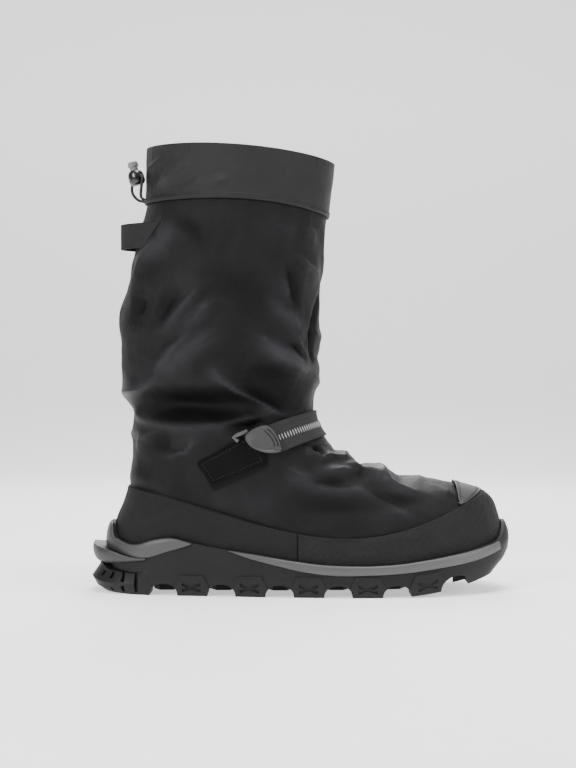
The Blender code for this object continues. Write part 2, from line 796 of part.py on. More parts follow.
def closed_curve(outline, count):
    """Points of a smooth closed curve through an outline's points."""
    around = np.array([*outline[-3:], *outline, *outline[:3]])
    stations = np.arange(len(around), dtype=float)
    places = 3 + np.arange(count) * len(outline) / count
    return np.stack([smooth(places, stations, around[:, 0]), smooth(places, stations, around[:, 1])], -1)


def build_buckle():
    flank_quad("buckle_patch", PATCH_CORNERS, SOFT_GAP, PATCH_WALL, 8, 5, BLACK_TAPE)
    tail_lift = SOFT_GAP + PATCH_WALL + GAP
    flank_quad("strap_tail", TAIL_CORNERS, tail_lift, TAIL_THICKNESS, 8, 5, BLACK_TAPE)
    base, forward, upward, normal = flank_frame(TAB_CENTRE)
    lift = tail_lift + TAIL_THICKNESS + GAP
    tab_foot = lift + TAB_STANDOFF

    def tab_point(u, v, height):
        return base + (u * forward + v * upward) * TAB_LENGTH + height * normal

    outline = closed_curve(TAB_OUTLINE, 24)
    sections = []
    for share, size in ((0.0, 0.94), (0.25, 1.0), (0.75, 1.0), (1.0, 0.93)):
        height = tab_foot + share * TAB_THICKNESS
        sections.append([tab_point(u * size, v * size, height) for u, v in outline])
    tab = place("buckle_tab", loft("buckle_tab", sections), PLASTIC, PARTS)
    slots = []
    for start, middle, end in TAB_SLOTS:
        line = []
        start, middle, end = np.array(start), np.array(middle), np.array(end)
        for t in np.linspace(0, 1, 7):
            line.append((1 - t) ** 2 * start + 2 * t * (1 - t) * middle + t**2 * end)
        ahead = np.array(line)
        across = np.gradient(ahead, axis=0)
        across = np.stack([-across[:, 1], across[:, 0]], -1)
        across /= np.linalg.norm(across, axis=1, keepdims=True)
        half = SLOT_WIDTH / TAB_LENGTH / 2
        ring = [*(ahead + half * across), *(ahead - half * across)[::-1]]
        low = [tab_point(u, v, tab_foot + 0.55 * TAB_THICKNESS) for u, v in ring]
        high = [tab_point(u, v, tab_foot + 1.5 * TAB_THICKNESS) for u, v in ring]
        slots.append(prism("slot", low, high))
    combine(tab, cutter("tab_slots", joined("tab_slots", slots)), "DIFFERENCE")
    route = []
    for u, v in FRAME_ROUTE:
        x, z = u * SOLE_LENGTH, v * OVERSHOE_HEIGHT
        turn, level = on_flank(x, z)
        route.append(upper_lifted(turn, level, lift + FRAME_WIRE / 2))
    tube("buckle_frame", route, FRAME_WIRE, PLASTIC, 2)


def tube(name, route, diameter, finish, resolution):
    """A round wire or cord along a route, as a closed mesh."""
    curve = bpy.data.curves.new(name, "CURVE")
    curve.dimensions = "3D"
    curve.bevel_depth = diameter / 2
    curve.bevel_resolution = resolution
    curve.use_fill_caps = True
    spline = curve.splines.new("POLY")
    spline.points.add(len(route) - 1)
    for point, spot in zip(spline.points, route):
        point.co = (*spot, 1.0)
    curve.materials.append(finish)
    made = bpy.data.objects.new(name, curve)
    PARTS.objects.link(made)
    return made


def build_toe_patch():
    tip = TOE_PATCH_TURN
    turns = np.linspace(-tip, tip, 17)
    rows = [[] for _ in range(4)]
    levels = np.linspace(RAND_TOP, RAND_TOP + 4, 81)
    for t in turns:
        edge = (TOE_PATCH_BACK + TOE_PATCH_BOW * (t / tip) ** 2 - 0.5) * SOLE_LENGTH
        xs = upper_surface(t, levels)[:, 0]
        back = max(RAND_TOP + 0.25, float(np.interp(-edge, -xs, levels)))
        front = RAND_TOP + 0.06
        for row, share in zip(rows, np.linspace(0, 1, 4)):
            row.append(upper_lifted(t, front + share * (back - front), SOFT_GAP + PATCH_WALL))
    return sheet("toe_patch", np.array(rows), False, PATCH_WALL, COATING)


def build_pull_loop():
    rows = []
    for share in np.linspace(0, 1, 4):
        height = (LOOP_FOOT * OVERSHOE_HEIGHT) + share * LOOP_WIDTH
        end_x = (LOOP_LOW_END + share * (LOOP_HIGH_END - LOOP_LOW_END) - 0.5) * SOLE_LENGTH
        search = np.linspace(0.25, 0.5, 60)
        xs = [float(upper_surface(t, level_at(t, height))[0]) for t in search]
        first = float(np.interp(-end_x, [-x for x in xs], search))
        row = []
        for t in np.linspace(first, 1 - first, 17):
            free = float(eased((min(t, 1 - t) - first) / (0.5 - first) * 1.1 - 0.12))
            held = SOFT_GAP + LOOP_THICKNESS
            reach = float(upper_surface(0.5, level_at(0.5, height))[0]) - (LOOP_BACK - 0.5) * SOLE_LENGTH
            lift = held + (reach - held) * free
            level = level_at(t, height)
            row.append(upper_surface(t, level) + lift * plan_outward(t, level))
        rows.append(row)
    return sheet("pull_loop", np.array(rows), False, LOOP_THICKNESS, WEBBING)


def spun(name, origin, axis, profile):
    """Closed round mesh on an axis, from pairs of height and radius."""
    side = Vector((0, 1, 0))
    third = axis.cross(side).normalized()
    sections = []
    for height, radius in profile:
        section = []
        for i in range(18):
            angle = 2 * math.pi * i / 18
            spoke = side * math.cos(angle) + third * math.sin(angle)
            section.append(origin + axis * height + spoke * radius)
        sections.append(section)
    return loft(name, sections)


def cord_route():
    """Points of the drawcord from its lateral hole in the cuff, through the lock, to the medial hole."""
    spots = []
    for x, y, z in CORD_ROUTE:
        spots.append((x * SOLE_LENGTH, y * SOLE_WIDTH, z * OVERSHOE_HEIGHT))
    through = np.array(LOCK_CENTRE) * (SOLE_LENGTH, SOLE_WIDTH, OVERSHOE_HEIGHT)
    spots = np.array(spots)
    middle = len(spots) // 2
    spots = np.insert(spots, middle, [through + 0.9 * LOCK_RADIUS * CORD_AXIS, through,
                                      through - 0.9 * LOCK_RADIUS * CORD_AXIS], axis=0)
    lengths = np.concatenate([[0], np.cumsum(np.linalg.norm(np.diff(spots, axis=0), axis=1))])
    places = np.linspace(0, lengths[-1], 44)
    return np.stack([smooth(places, lengths, spots[:, i]) for i in range(3)], -1)


def build_lock():
    axis, across = Vector(LOCK_AXIS), Vector(CORD_AXIS)
    centre = Vector(np.array(LOCK_CENTRE) * (SOLE_LENGTH, SOLE_WIDTH, OVERSHOE_HEIGHT))
    top = LOCK_PROFILE[-1][0] * LOCK_HEIGHT
    profile = [(height * LOCK_HEIGHT, radius * LOCK_RADIUS) for height, radius in LOCK_PROFILE]
    lock = place("cord_lock", spun("cord_lock", centre, axis, profile), GLOSS_BLACK, PARTS)
    stem_foot = -LOCK_BORE / 2
    floor = stem_foot - BUTTON_TRAVEL - GAP
    well = STEM_RADIUS + GAP
    well_mesh = spun("lock_well", centre, axis, [(floor, well), (2 * LOCK_HEIGHT, well)])
    combine(lock, cutter("lock_well", well_mesh), "DIFFERENCE")
    bore = [(-2 * LOCK_RADIUS, LOCK_BORE / 2), (2 * LOCK_RADIUS, LOCK_BORE / 2)]
    bore_mesh = bore_along("lock_bore", centre, across, bore)
    combine(lock, cutter("lock_bore", bore_mesh), "DIFFERENCE")
    cap_foot = top + BUTTON_TRAVEL + GAP
    button_profile = [(stem_foot, STEM_RADIUS), (cap_foot, STEM_RADIUS), (cap_foot, BUTTON_RADIUS),
                      (cap_foot + 0.8 * BUTTON_HEIGHT, BUTTON_RADIUS),
                      (cap_foot + BUTTON_HEIGHT, 0.85 * BUTTON_RADIUS)]
    button = place("lock_button", spun("lock_button", centre, axis, button_profile), PLASTIC, PARTS)
    half = LOCK_BORE / 2
    wide = axis.cross(across).normalized()
    rise = half + BUTTON_TRAVEL
    ring = [centre + wide * a + axis * b for a, b in ((-half, -rise - half), (half, -rise - half),
                                                       (half, rise), (-half, rise))]
    through = across * 2 * LOCK_RADIUS
    slot = prism("stem_slot", [p - through for p in ring], [p + through for p in ring])
    combine(button, cutter("stem_slot", slot), "DIFFERENCE")


def bore_along(name, origin, axis, profile):
    side = Vector((0, 0, 1)).cross(axis).normalized()
    third = axis.cross(side)
    sections = []
    spokes = [side * math.cos(a) + third * math.sin(a) for a in np.arange(12) * 2 * math.pi / 12]
    for height, radius in profile:
        sections.append([origin + axis * height + spoke * radius for spoke in spokes])
    return loft(name, sections)


clear_scene()
PARTS = collection("winter_overshoe")
CUTTERS = collection("cutters")
CLOTH = material("coated_nylon", (0.020, 0.020, 0.022), 0.55)
WEAVE = material("heavy_weave", (0.026, 0.026, 0.028), 0.70)
CUFF_CLOTH = material("cuff_nylon", (0.045, 0.045, 0.048), 0.45)
RUBBER = material("black_rubber", (0.028, 0.028, 0.030), 0.60)
GREY = material("grey_rubber", (0.155, 0.150, 0.155), 0.50)
FOAM = material("black_foam", (0.030, 0.030, 0.032), 0.90)
WEBBING = material("grey_webbing", (0.060, 0.056, 0.060), 0.75)
BLACK_TAPE = material("black_tape", (0.010, 0.010, 0.011), 0.85)
GLOSS_BLACK = material("gloss_black", (0.015, 0.015, 0.017), 0.30)
CORD_BLACK = material("black_cord", (0.012, 0.012, 0.013), 0.70)
PLASTIC = material("grey_plastic", (0.120, 0.118, 0.120), 0.45)
COATING = material("grey_coating", (0.130, 0.127, 0.130), 0.50)
build_upper()
build_rand()
build_cuff()
build_sole()
build_insole()
build_bands()
build_toe_patch()
build_strap()
build_buckle()
build_pull_loop()
build_lock()
tube("draw_cord", cord_route(), CORD_DIAMETER, CORD_BLACK, 2)
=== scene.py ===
# %% [markdown]
# # A winter overshoe
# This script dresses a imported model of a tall, slack overshoe. The hard facts, such as sizes and places, come
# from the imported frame. Here every surface gets its real form and finish: cloth with creases, woven rand,
# webbing with a ladder, moulded rubber. Each step first says what the piece is, how it could be made, and why
# it is made this way.

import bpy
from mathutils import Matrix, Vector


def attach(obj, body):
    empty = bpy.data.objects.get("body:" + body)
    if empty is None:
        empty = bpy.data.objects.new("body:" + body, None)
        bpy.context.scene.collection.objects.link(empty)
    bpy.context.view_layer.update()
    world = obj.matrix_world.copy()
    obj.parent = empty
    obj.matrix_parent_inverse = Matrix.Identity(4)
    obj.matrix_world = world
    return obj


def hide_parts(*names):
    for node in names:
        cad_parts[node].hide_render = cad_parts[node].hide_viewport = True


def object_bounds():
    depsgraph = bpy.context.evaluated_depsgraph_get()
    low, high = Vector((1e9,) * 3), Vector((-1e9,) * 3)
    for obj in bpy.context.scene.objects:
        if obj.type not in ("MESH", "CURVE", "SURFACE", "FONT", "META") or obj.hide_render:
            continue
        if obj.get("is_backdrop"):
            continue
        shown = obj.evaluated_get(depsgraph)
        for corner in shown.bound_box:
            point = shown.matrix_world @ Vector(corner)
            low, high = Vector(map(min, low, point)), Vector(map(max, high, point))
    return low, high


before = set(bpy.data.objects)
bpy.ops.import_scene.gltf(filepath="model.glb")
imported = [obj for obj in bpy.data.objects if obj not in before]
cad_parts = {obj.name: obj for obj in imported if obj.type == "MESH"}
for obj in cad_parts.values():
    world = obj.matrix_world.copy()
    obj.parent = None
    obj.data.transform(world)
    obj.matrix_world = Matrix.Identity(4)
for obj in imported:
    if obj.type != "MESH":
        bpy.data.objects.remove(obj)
CAD_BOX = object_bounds()

# %% Tools
import math

import bmesh
import bpy
import numpy as np
from mathutils import Vector, noise

# %% [markdown]
# ## The shoe's own sizes
# All lengths are in metres. The upper was modelled as one function of two numbers: turn runs round the foot
# from the toe (0) by the lateral side to the heel (0.5) and back, and level runs from the lasting edge (0) to
# the collar (20). A picture could be traced instead, but the function gives every overlay the same base, so
# this script repeats the model's tables.

# %% Sizes
SOLE_LENGTH = 0.345
SOLE_WIDTH = 0.122
OVERSHOE_HEIGHT = 0.364
SHAFT_DEPTH = 0.156
SHAFT_WIDTH = 0.116
CLOTH_WALL = 0.0014
RAND_WALL = 0.0012
CUFF_WALL = 0.0014
PATCH_WALL = 0.0010
SOLE_WALL = 0.0030
BAND_WALL = 0.0018
GAP = 0.0003
SOFT_GAP = 0.0006
INNER_LIFT = GAP + RAND_WALL + SOFT_GAP
RIM_HEIGHT = 0.057
TOE_SPRING = 0.0235
SPRING_START = 0.69
HEEL_FLARE = 0.0135
TOE_ROLL = 0.0115
SPUR_REACH = 0.0115
LUG_PITCH = 0.0465
ARCH_WIDTH = 0.0225
ARCH_HEIGHT = 0.0095
LUG_DEPTH = 0.0230
TREAD_DEPTH = 0.0050
LUG_PAD = 0.0009
PAD_HEIGHT = 0.0165
STRAP_WIDTH = 0.0235
STRAP_THICKNESS = 0.0016
TAIL_THICKNESS = 0.0014
TAB_LENGTH = 0.0280
TAB_THICKNESS = 0.0032
TAB_STANDOFF = 0.0014
LOOP_WIDTH = 0.0205
LOOP_THICKNESS = 0.0015
CORD_DIAMETER = 0.0024
LOCK_RADIUS = 0.0068
LOCK_HEIGHT = 0.0135

# %% Rings of the upper, from the lasting edge to the collar
RING_COLUMNS = ("back", "reach", "heel", "toe", "dip", "width", "foot", "pinch")
RINGS = (
    (0.056, 0.926, 0.080, 0.082, 0.034, 0.890, 1.00, 0.00),
    (0.054, 0.929, 0.121, 0.115, 0.040, 0.893, 1.00, 0.00),
    (0.062, 0.912, 0.157, 0.159, 0.055, 0.893, 1.00, 0.00),
    (0.077, 0.881, 0.195, 0.199, 0.080, 0.885, 1.00, 0.00),
    (0.090, 0.842, 0.234, 0.221, 0.099, 0.869, 1.00, 0.00),
    (0.089, 0.820, 0.258, 0.236, 0.088, 0.863, 0.95, 0.00),
    (0.091, 0.808, 0.280, 0.246, 0.074, 0.859, 0.85, 0.00),
    (0.094, 0.798, 0.302, 0.257, 0.055, 0.865, 0.70, 0.00),
    (0.095, 0.809, 0.324, 0.277, 0.033, 0.874, 0.50, 0.00),
    (0.097, 0.847, 0.346, 0.301, 0.014, 0.891, 0.30, 0.00),
    (0.096, 0.885, 0.368, 0.331, 0.003, 0.915, 0.15, 0.00),
    (0.093, 0.992, 0.393, 0.368, 0.000, 0.948, 0.00, 0.00),
    (0.086, 0.981, 0.420, 0.415, 0.000, 0.974, 0.00, 0.00),
    (0.074, 1.031, 0.473, 0.470, 0.000, 1.000, 0.00, 0.00),
    (0.068, 1.060, 0.522, 0.522, 0.000, 1.026, 0.00, 0.00),
    (0.066, 1.059, 0.588, 0.591, 0.000, 1.043, 0.00, 0.05),
    (0.077, 1.037, 0.659, 0.659, 0.000, 1.034, 0.00, 0.10),
    (0.091, 1.021, 0.723, 0.723, 0.000, 1.017, 0.00, 0.15),
    (0.107, 0.990, 0.786, 0.783, 0.000, 0.991, 0.00, 0.22),
    (0.130, 0.954, 0.871, 0.841, -0.012, 0.974, 0.00, 0.30),
    (0.134, 0.979, 0.999, 0.962, -0.005, 0.966, 0.00, 0.35),
)
RAND_TOP = 4
CUFF_FOOT = 19
COLLAR = 20

# %% Footprint: fullness of each side, and how far the middle line drifts to the medial side
FOOTPRINT_COLUMNS = ("along", "lateral", "medial", "drift")
FOOTPRINT = (
    (0.00, 1.30, 1.30, 0.000),
    (0.07, 1.20, 1.20, 0.000),
    (0.12, 1.08, 1.05, 0.000),
    (0.20, 0.95, 0.89, 0.000),
    (0.30, 0.91, 0.80, 0.000),
    (0.40, 0.93, 0.77, 0.000),
    (0.50, 0.97, 0.83, 0.000),
    (0.60, 1.02, 0.95, 0.002),
    (0.70, 1.09, 1.07, 0.006),
    (0.80, 1.17, 1.17, 0.014),
    (0.88, 1.23, 1.26, 0.024),
    (0.94, 1.27, 1.33, 0.036),
    (1.00, 1.28, 1.36, 0.046),
)

# %% Curves through tables
def table(columns, rows):
    """Rows of numbers as named columns."""
    return dict(zip(columns, np.array(rows, float).T))


def smooth(places, stations, values):
    """Reads a smooth curve through values at stations, at the given places."""
    places = np.clip(np.asarray(places, float), stations[0], stations[-1])
    slopes = np.gradient(values, stations)
    i = np.clip(np.searchsorted(stations, places) - 1, 0, len(stations) - 2)
    step = stations[i + 1] - stations[i]
    u = (places - stations[i]) / step
    start = (1 + 2 * u) * (1 - u) ** 2 * values[i] + u * (1 - u) ** 2 * step * slopes[i]
    end = u**2 * (3 - 2 * u) * values[i + 1] + u**2 * (u - 1) * step * slopes[i + 1]
    return start + end


def eased(share):
    share = np.clip(share, 0, 1)
    return share * share * (3 - 2 * share)


RING = table(RING_COLUMNS, RINGS)
FOOT = table(FOOTPRINT_COLUMNS, FOOTPRINT)
RING_NUMBERS = np.arange(len(RINGS), dtype=float)

# %% The upper as a function
def upper_surface(turn, level):
    """Outside of the upper's cloth, without its creases."""
    turn, level = np.broadcast_arrays(np.asarray(turn, float), np.asarray(level, float))
    ring = {name: smooth(level, RING_NUMBERS, RING[name]) for name in RING_COLUMNS}
    length = ring["reach"] * (ring["foot"] * SOLE_LENGTH + (1 - ring["foot"]) * SHAFT_DEPTH)
    half = ring["width"] * (ring["foot"] * SOLE_WIDTH + (1 - ring["foot"]) * SHAFT_WIDTH) / 2
    along = (1 + np.cos(2 * math.pi * turn)) / 2
    side = np.sin(2 * math.pi * turn)
    lateral = smooth(along, FOOT["along"], FOOT["lateral"])
    medial = smooth(along, FOOT["along"], FOOT["medial"])
    fullness = 1 + ring["foot"] * (np.where(side > 0, lateral, medial) - 1)
    pinched = np.abs(side) ** (ring["pinch"] * (1 - along) ** 2)
    x = (ring["back"] - 0.5) * SOLE_LENGTH + along * length
    drift = smooth(x / SOLE_LENGTH + 0.5, FOOT["along"], FOOT["drift"]) * SOLE_WIDTH
    y = drift - half * fullness * pinched * side
    hang = np.sin(math.pi * along**1.36)
    share = ring["heel"] + along * (ring["toe"] - ring["heel"]) - ring["dip"] * hang
    return np.stack([x, y, share * OVERSHOE_HEIGHT], -1)


def outward(turn, level):
    """Unit normal of the upper, pointing out."""
    step = 2e-3
    level = np.asarray(level, float)
    low, high = np.clip(level - 10 * step, 0, COLLAR), np.clip(level + 10 * step, 0, COLLAR)
    up = upper_surface(turn, high) - upper_surface(turn, low)
    round_it = upper_surface(np.asarray(turn) + step, level) - upper_surface(np.asarray(turn) - step, level)
    normal = np.cross(up, round_it)
    return normal / np.linalg.norm(normal, axis=-1, keepdims=True)


def upper_lifted(turn, level, lift):
    """Places on the upper, lifted off it along its normals."""
    return upper_surface(turn, level) + np.asarray(lift)[..., None] * outward(turn, level)


print("collar height", round(float(upper_surface(0.5, COLLAR)[2]), 4))

# %% [markdown]
# ## Camera, light and floor
# The photograph looks level at the lateral side from a little over a metre away. The camera comes first, so
# that every later step can be judged in the same view. The floor curves up into a backdrop, as in a studio,
# and large soft lights leave no hard shadow.

# %% Camera
CAMERA_PLACE = (-0.0108, -1.200, 0.169)
LENS = 67.85
camera_data = bpy.data.cameras.new("camera")
camera_data.lens = LENS
camera = bpy.data.objects.new("camera", camera_data)
camera.location = CAMERA_PLACE
camera.rotation_euler = (math.radians(90), 0, 0)
bpy.context.scene.collection.objects.link(camera)
bpy.context.scene.camera = camera
print("camera at", CAMERA_PLACE)

# %% Lights
MIDDLE = (0.0, 0.0, 0.16)
SOFT_LIGHTS = (
    ("light_front_left", (-0.95, -1.15, 0.95), 0.55, 24.0),
    ("light_top", (0.10, -0.15, 1.45), 0.7, 26.0),
    ("light_front_right", (1.25, -0.75, 0.75), 0.5, 12.0),
    ("light_back", (0.0, 1.15, 1.05), 0.9, 20.0),
)
WORLD_STRENGTH = 0.25


def soft_light(name, place, size, power):
    """A square soft light at a place, aimed at the middle of the shoe."""
    data = bpy.data.lights.new(name, "AREA")
    data.size = size
    data.energy = power
    lamp = bpy.data.objects.new(name, data)
    lamp.location = place
    lamp.rotation_euler = (Vector(MIDDLE) - Vector(place)).to_track_quat("-Z", "Y").to_euler()
    bpy.context.scene.collection.objects.link(lamp)


for row in SOFT_LIGHTS:
    soft_light(*row)
world = bpy.data.worlds.new("studio")
world.use_nodes = True
world.node_tree.nodes["Background"].inputs["Color"].default_value = (1.0, 1.0, 1.0, 1.0)
world.node_tree.nodes["Background"].inputs["Strength"].default_value = WORLD_STRENGTH
bpy.context.scene.world = world

# %% [markdown]
# ## Meshes and finishes
# Cloth and rubber pieces here are grids of rows and columns, so one helper makes the grid, its faces and a
# texture map whose unit is the metre. A weave drawn on that map keeps its real pitch and follows the cloth
# round the foot. Each finish is a Principled shader with bump from procedural textures.

# %% Grid pieces
def link(name, mesh):
    made = bpy.data.objects.new(name, mesh)
    bpy.context.scene.collection.objects.link(made)
    return made


def shade(mesh, degrees=40):
    mesh.shade_smooth()
    mesh.set_sharp_from_angle(angle=math.radians(degrees))


def grid_piece(name, grid, around, finish, thickness=None, lining=None):
    """A piece from rows and columns of points that face out, with a texture map in metres."""
    rows, columns = grid.shape[:2]
    last = columns if around else columns - 1
    r, c = [a.ravel() for a in np.meshgrid(np.arange(rows - 1), np.arange(last), indexing="ij")]
    after = (c + 1) % columns
    low, high = r * columns, (r + 1) * columns
    quads = np.stack([low + c, high + c, high + after, low + after], 1)
    mesh = bpy.data.meshes.new(name)
    mesh.from_pydata(grid.reshape(-1, 3).tolist(), [], quads.tolist())
    middle = grid[rows // 2]
    ahead = np.linalg.norm(np.roll(middle, -1, 0) - middle, axis=1)
    along = np.concatenate([[0], np.cumsum(ahead)])
    up = np.concatenate([np.zeros((1, columns)), np.cumsum(np.linalg.norm(np.diff(grid, axis=0), axis=2), 0)])
    u = np.stack([along[c], along[c], along[c + 1], along[c + 1]], 1)
    v = np.stack([up[r, c], up[r + 1, c], up[r + 1, after], up[r, after]], 1)
    mesh.uv_layers.new(name="metres").data.foreach_set("uv", np.stack([u, v], -1).astype(np.float32).ravel())
    shade(mesh)
    mesh.materials.append(finish)
    made = link(name, mesh)
    if thickness:
        mesh.materials.append(lining or finish)
        wall = made.modifiers.new("wall", "SOLIDIFY")
        wall.thickness = thickness
        wall.offset = -1
        wall.use_even_offset = True
        wall.material_offset = 1
        wall.material_offset_rim = 0
    return made


def loft_piece(name, sections, finish):
    """Closed piece through sections of as many points each, capped at both ends."""
    count = len(sections[0])
    shape = bmesh.new()
    rings = [[shape.verts.new(tuple(p)) for p in section] for section in sections]
    for low, high in zip(rings[:-1], rings[1:]):
        for i in range(count):
            shape.faces.new((low[i], low[(i + 1) % count], high[(i + 1) % count], high[i]))
    shape.faces.new(rings[0])
    shape.faces.new(rings[-1])
    bmesh.ops.recalc_face_normals(shape, faces=shape.faces)
    mesh = bpy.data.meshes.new(name)
    shape.to_mesh(mesh)
    shape.free()
    shade(mesh)
    mesh.materials.append(finish)
    return link(name, mesh)


def finish_piece(made, node, body="overshoe"):
    """Puts a piece on the body it rides on and hides the model's solid that it stands for."""
    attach(made, body)
    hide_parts(node)
    return made


# %% Finishes
class Finish:
    """A material under construction: a Principled shader, and short calls that add nodes to it."""

    def __init__(self, name, colour, roughness, **sockets):
        self.material = bpy.data.materials.new(name)
        self.material.use_nodes = True
        self.tree = self.material.node_tree
        self.shader = self.tree.nodes["Principled BSDF"]
        self.shader.inputs["Base Color"].default_value = (*colour, 1.0)
        self.shader.inputs["Roughness"].default_value = roughness
        for socket, value in sockets.items():
            self.shader.inputs[socket.replace("_", " ")].default_value = value
        self.colour = colour

    def node(self, kind, inputs=(), **settings):
        made = self.tree.nodes.new(kind)
        for key, value in settings.items():
            setattr(made, key, value)
        for key, value in dict(inputs).items():
            if hasattr(value, "is_output"):
                self.tree.links.new(value, made.inputs[key])
            else:
                made.inputs[key].default_value = value
        return made

    def place(self, turned=0.0, mapped=False):
        """Where the pattern is read: on the object in metres, or on the cloth's own map in metres."""
        if mapped:
            start = self.node("ShaderNodeUVMap", uv_map="metres").outputs["UV"]
        else:
            start = self.node("ShaderNodeTexCoord").outputs["Object"]
        at = self.node("ShaderNodeMapping", {"Vector": start, "Rotation": (0, 0, turned)})
        return at.outputs["Vector"]

    def noise(self, size, detail=3.0):
        """Cloudy values, with clouds of about size metres."""
        made = self.node("ShaderNodeTexNoise", {"Vector": self.place(), "Scale": 1 / size, "Detail": detail})
        return made.outputs["Fac"]

    def maths(self, operation, *values):
        return self.node("ShaderNodeMath", dict(enumerate(values)), operation=operation).outputs[0]

    def span(self, value, low, high, start=0.0, end=1.0):
        made = self.node("ShaderNodeMapRange", {"Value": value, "From Min": start, "From Max": end,
                                                "To Min": low, "To Max": high})
        return made.outputs["Result"]

    def tint(self, value, darker, lighter):
        """The base colour, scaled between two shares by a value."""
        dark = (*[c * darker for c in self.colour], 1.0)
        light = (*[c * lighter for c in self.colour], 1.0)
        made = self.node("ShaderNodeMix", {"Factor": value, "A": dark, "B": light}, data_type="RGBA")
        for key, colour in (("A_Color", dark), ("B_Color", light)):
            [s for s in made.inputs if s.identifier == key][0].default_value = colour
        out = [s for s in made.outputs if s.identifier == "Result_Color"][0]
        self.tree.links.new(out, self.shader.inputs["Base Color"])

    def rough(self, value, low, high):
        self.tree.links.new(self.span(value, low, high), self.shader.inputs["Roughness"])

    def bump(self, height, depth, strength=1.0):
        """Adds a relief of that depth in metres on top of any before it."""
        made = self.node("ShaderNodeBump", {"Height": height, "Distance": depth, "Strength": strength})
        normal = self.shader.inputs["Normal"]
        if normal.links:
            self.tree.links.new(normal.links[0].from_socket, made.inputs["Normal"])
        self.tree.links.new(made.outputs["Normal"], normal)

    def weave(self, pitch, turned=0.0, mapped=True, twill=False):
        """Threads of a weave with that pitch in metres: over and under, or diagonal lines."""
        split = self.node("ShaderNodeSeparateXYZ", {"Vector": self.place(turned=turned, mapped=mapped)})
        across = self.maths("MULTIPLY", split.outputs["X"], 2 * math.pi / pitch)
        along = self.maths("MULTIPLY", split.outputs["Y"], 2 * math.pi / pitch)
        if twill:
            along = self.maths("MULTIPLY", along, 0.35)
            lines = self.maths("SINE", across)
            return self.maths("ADD", lines, self.maths("MULTIPLY", self.maths("SINE", along), 0.35))
        return self.maths("MULTIPLY", self.maths("SINE", across), self.maths("SINE", along))


# %% Coated nylon of the upper
def coated_nylon(name, colour, roughness, crumple, fold_shading=False):
    """Coated cloth. With the fold flag set, the folds' crests get a painted highlight and their hollows a
    painted shade.
    """
    made = Finish(name, colour, roughness, Specular_IOR_Level=0.15)
    clouds = made.noise(0.045, 4.0)
    if fold_shading:
        fold = made.node("ShaderNodeAttribute", attribute_name="fold").outputs["Fac"]
        # painted highlight on the folds' crests and painted shade in their hollows, driven by the fold
        # attribute
        painted_fold_light = made.maths("MULTIPLY", fold, made.span(clouds, 0.75, 1.25))
        made.tint(made.maths("POWER", painted_fold_light, 2.0), 0.25, 9.0)
        made.rough(fold, roughness + 0.12, roughness - 0.10)
    else:
        made.tint(clouds, 0.80, 1.22)
        made.rough(clouds, roughness - 0.06, roughness + 0.10)
    made.bump(made.noise(0.014, 4.0), crumple)
    made.bump(made.noise(0.0045, 3.0), crumple * 0.22)
    made.bump(made.weave(0.0007), 0.00006, 0.7)
    return made.material


# the last flag turns on the painted fold highlight and painted fold shade
NYLON = coated_nylon("coated_nylon", (0.0024, 0.0022, 0.0026), 0.48, 0.0010, True)
CUFF_NYLON = coated_nylon("cuff_nylon", (0.0150, 0.0145, 0.0152), 0.45, 0.0012)
LINING = coated_nylon("lining_cloth", (0.012, 0.012, 0.013), 0.62, 0.0008)

# %% Heavy weave of the rand
def heavy_weave(name, colour, twill):
    """Dense cloth of the rand, with coarse diagonal lines where twill is set."""
    made = Finish(name, colour, 0.66, Specular_IOR_Level=0.20)
    clouds = made.noise(0.030, 3.0)
    lines = made.weave(0.0017 if twill else 0.0008, turned=math.radians(38) if twill else 0.0, twill=twill)
    speck = made.maths("ADD", made.maths("MULTIPLY", clouds, 0.6), made.maths("MULTIPLY", lines, 0.20))
    made.tint(speck, 0.65, 1.55)
    made.bump(lines, 0.00022 if twill else 0.00006)
    made.bump(made.noise(0.010, 3.0), 0.0005)
    return made.material


RAND_FRONT = heavy_weave("rand_heavy_weave", (0.0110, 0.0107, 0.0113), True)
RAND_REAR = heavy_weave("rand_smooth_weave", (0.0070, 0.0068, 0.0072), False)

# %% Rubber and plastic
def moulded(name, colour, roughness, grain, **sockets):
    """Rubber or plastic with a fine moulded grain."""
    made = Finish(name, colour, roughness, **sockets)
    clouds = made.noise(0.022, 4.0)
    made.tint(clouds, 0.84, 1.18)
    made.rough(clouds, roughness - 0.05, roughness + 0.08)
    made.bump(made.noise(0.0011, 2.0), grain)
    return made.material


DARK_GREY_RUBBER = moulded("dark_grey_rubber", (0.022, 0.0215, 0.022), 0.52, 0.00006)
TAB_PLASTIC = moulded("tab_plastic", (0.032, 0.031, 0.032), 0.42, 0.00004)
PALE_PLASTIC = moulded("pale_plastic", (0.050, 0.049, 0.050), 0.42, 0.00004)
LOCK_PLASTIC = moulded("lock_plastic", (0.0045, 0.0045, 0.0048), 0.30, 0.00003, Coat_Weight=0.25)
CAP_PLASTIC = moulded("cap_plastic", (0.160, 0.157, 0.160), 0.40, 0.00003)
COATING = moulded("grey_coating", (0.042, 0.041, 0.0425), 0.52, 0.00009)
FOOTBED = moulded("footbed_foam", (0.030, 0.030, 0.032), 0.88, 0.00025)

# %% Webbing, tape, thread and cord
def webbing(name, colour, rib, roughness=0.76):
    """Woven tape with ribs of that width across it."""
    made = Finish(name, colour, roughness, Specular_IOR_Level=0.20)
    split = made.node("ShaderNodeSeparateXYZ", {"Vector": made.place(mapped=True)})
    ribs = made.maths("SINE", made.maths("MULTIPLY", split.outputs["Y"], 2 * math.pi / rib))
    picks = made.maths("SINE", made.maths("MULTIPLY", split.outputs["X"], 2 * math.pi / (rib * 0.8)))
    relief = made.maths("ADD", ribs, made.maths("MULTIPLY", picks, 0.5))
    made.tint(made.span(relief, 0.0, 1.0, -1.5, 1.5), 0.70, 1.30)
    made.bump(relief, 0.00012)
    return made.material


